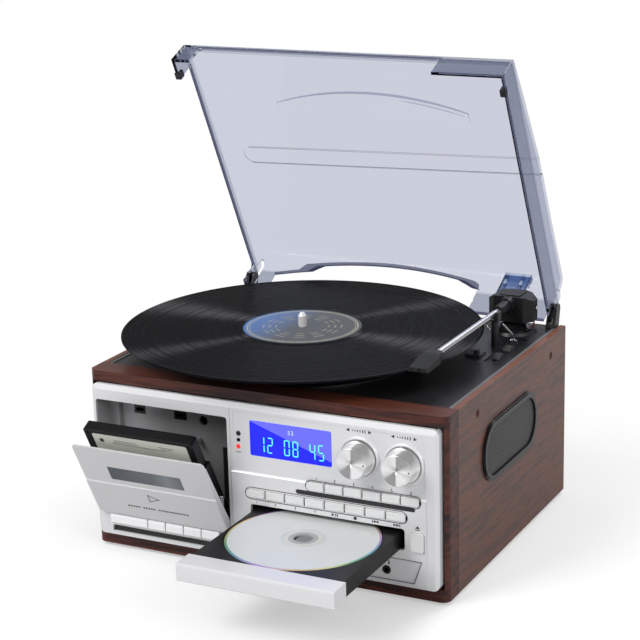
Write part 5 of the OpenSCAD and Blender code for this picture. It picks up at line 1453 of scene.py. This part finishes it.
camera_data = bpy.data.cameras.new("photo_camera")
camera_data.sensor_width = SENSOR
camera_data.lens = FOCUS * SENSOR / PICTURE
camera_data.shift_x = (PICTURE / 2 - MIDDLE_POINT[0]) / PICTURE
camera_data.shift_y = (MIDDLE_POINT[1] - PICTURE / 2) / PICTURE
camera_data.clip_end = 50
camera = bpy.data.objects.new("photo_camera", camera_data)
bpy.context.collection.objects.link(camera)
right, up, back = view_axes()
placing = Matrix.Identity(4)
for row in range(3):
    placing[row][0], placing[row][1], placing[row][2] = right[row], up[row], back[row]
    placing[row][3] = on_cabinet(EYE)[row]
camera.matrix_world = placing
bpy.context.scene.camera = camera
print("camera at", [round(v, 3) for v in on_cabinet(EYE)])

# %% [markdown]
# ## Studio
# A broad soft lamp high at the front left gives the shapes their light side, a weaker one at the
# right fills the shadows, and one behind lights the cover's edges. The floor and the surroundings
# are pale; what the camera sees of them, directly or through the clear cover, is a plain white,
# while the floor near the object keeps its soft shadow. Stronger lamps would whiten the floor too,
# but they would also burn out the silver panel.

# %% Floor
WHITE_FROM, WHITE_AT = 0.25, 0.60
FLOOR_REACH = 6.0


def seen_by_camera(tree):
    """1 for what the camera sees directly or through clear plastic."""
    path = add(tree, "ShaderNodeLightPath")
    return math_node(tree, "MAXIMUM", path.outputs["Is Camera Ray"], path.outputs["Is Transmission Ray"])


def studio_floor():
    """Pale and matt; for the camera a glow is added, which turns to plain white with the distance."""
    made = material("studio_floor", (0.62, 0.62, 0.62), 0.9)
    tree = made.node_tree
    shader = shader_of(made)
    seen = seen_by_camera(tree)
    glow = add(tree, "ShaderNodeEmission", Strength=1.0)
    tree.links.new(mixed(tree, seen, (0.0, 0.0, 0.0), (0.43, 0.43, 0.43)), glow.inputs["Color"])
    near_by = add(tree, "ShaderNodeAddShader")
    tree.links.new(shader.outputs[0], near_by.inputs[0])
    tree.links.new(glow.outputs[0], near_by.inputs[1])
    x, y, _ = place_axes(tree)
    squares = math_node(tree, "ADD", math_node(tree, "MULTIPLY", x, x), math_node(tree, "MULTIPLY", y, y))
    away = add(tree, "ShaderNodeMapRange", interpolation_type="SMOOTHSTEP")
    away.inputs["From Min"].default_value = WHITE_FROM
    away.inputs["From Max"].default_value = WHITE_AT
    tree.links.new(math_node(tree, "SQRT", squares), away.inputs["Value"])
    white = add(tree, "ShaderNodeEmission", Strength=1.0)
    choice = add(tree, "ShaderNodeMixShader")
    tree.links.new(math_node(tree, "MULTIPLY", away.outputs["Result"], seen), choice.inputs[0])
    tree.links.new(near_by.outputs[0], choice.inputs[1])
    tree.links.new(white.outputs[0], choice.inputs[2])
    tree.links.new(choice.outputs[0], tree.nodes["Material Output"].inputs["Surface"])
    return made


floor_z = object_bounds()[0][2]
corners = [(x * FLOOR_REACH, y * FLOOR_REACH, floor_z) for x, y in ((-1, -1), (1, -1), (1, 1), (-1, 1))]
floor_mesh = bpy.data.meshes.new("floor")
floor_mesh.from_pydata(corners, [], [(0, 1, 2, 3)])
floor_mesh.materials.append(studio_floor())
floor = bpy.data.objects.new("floor", floor_mesh)
bpy.context.collection.objects.link(floor)
print("floor at z =", floor_z)

# %% Surroundings and lamps
world = bpy.data.worlds.new("studio")
bpy.context.scene.world = world
world.use_nodes = True
tree = world.node_tree
surroundings = mixed(tree, seen_by_camera(tree), (0.40, 0.40, 0.41), (1.0, 1.0, 1.0))
tree.links.new(surroundings, tree.nodes["Background"].inputs["Color"])


def soft_lamp(name, place, target, size, power):
    """A square lamp at a place, turned towards a target."""
    data = bpy.data.lights.new(name, "AREA")
    data.size = size
    data.energy = power
    lamp = bpy.data.objects.new(name, data)
    bpy.context.collection.objects.link(lamp)
    way = Vector(target) - Vector(place)
    lamp.matrix_world = Matrix.Translation(place) @ way.to_track_quat("-Z", "Y").to_matrix().to_4x4()


soft_lamp("key_lamp", (-1.1, -1.7, 1.9), (0, 0, 0.12), 1.3, 46)
soft_lamp("fill_lamp", (1.9, -1.0, 1.1), (0, 0, 0.1), 1.2, 14)
soft_lamp("back_lamp", (0.5, 1.7, 1.7), (0, 0, 0.2), 1.2, 20)
bpy.context.scene.view_settings.view_transform = "Standard"
print("lamps:", len(bpy.data.lights))
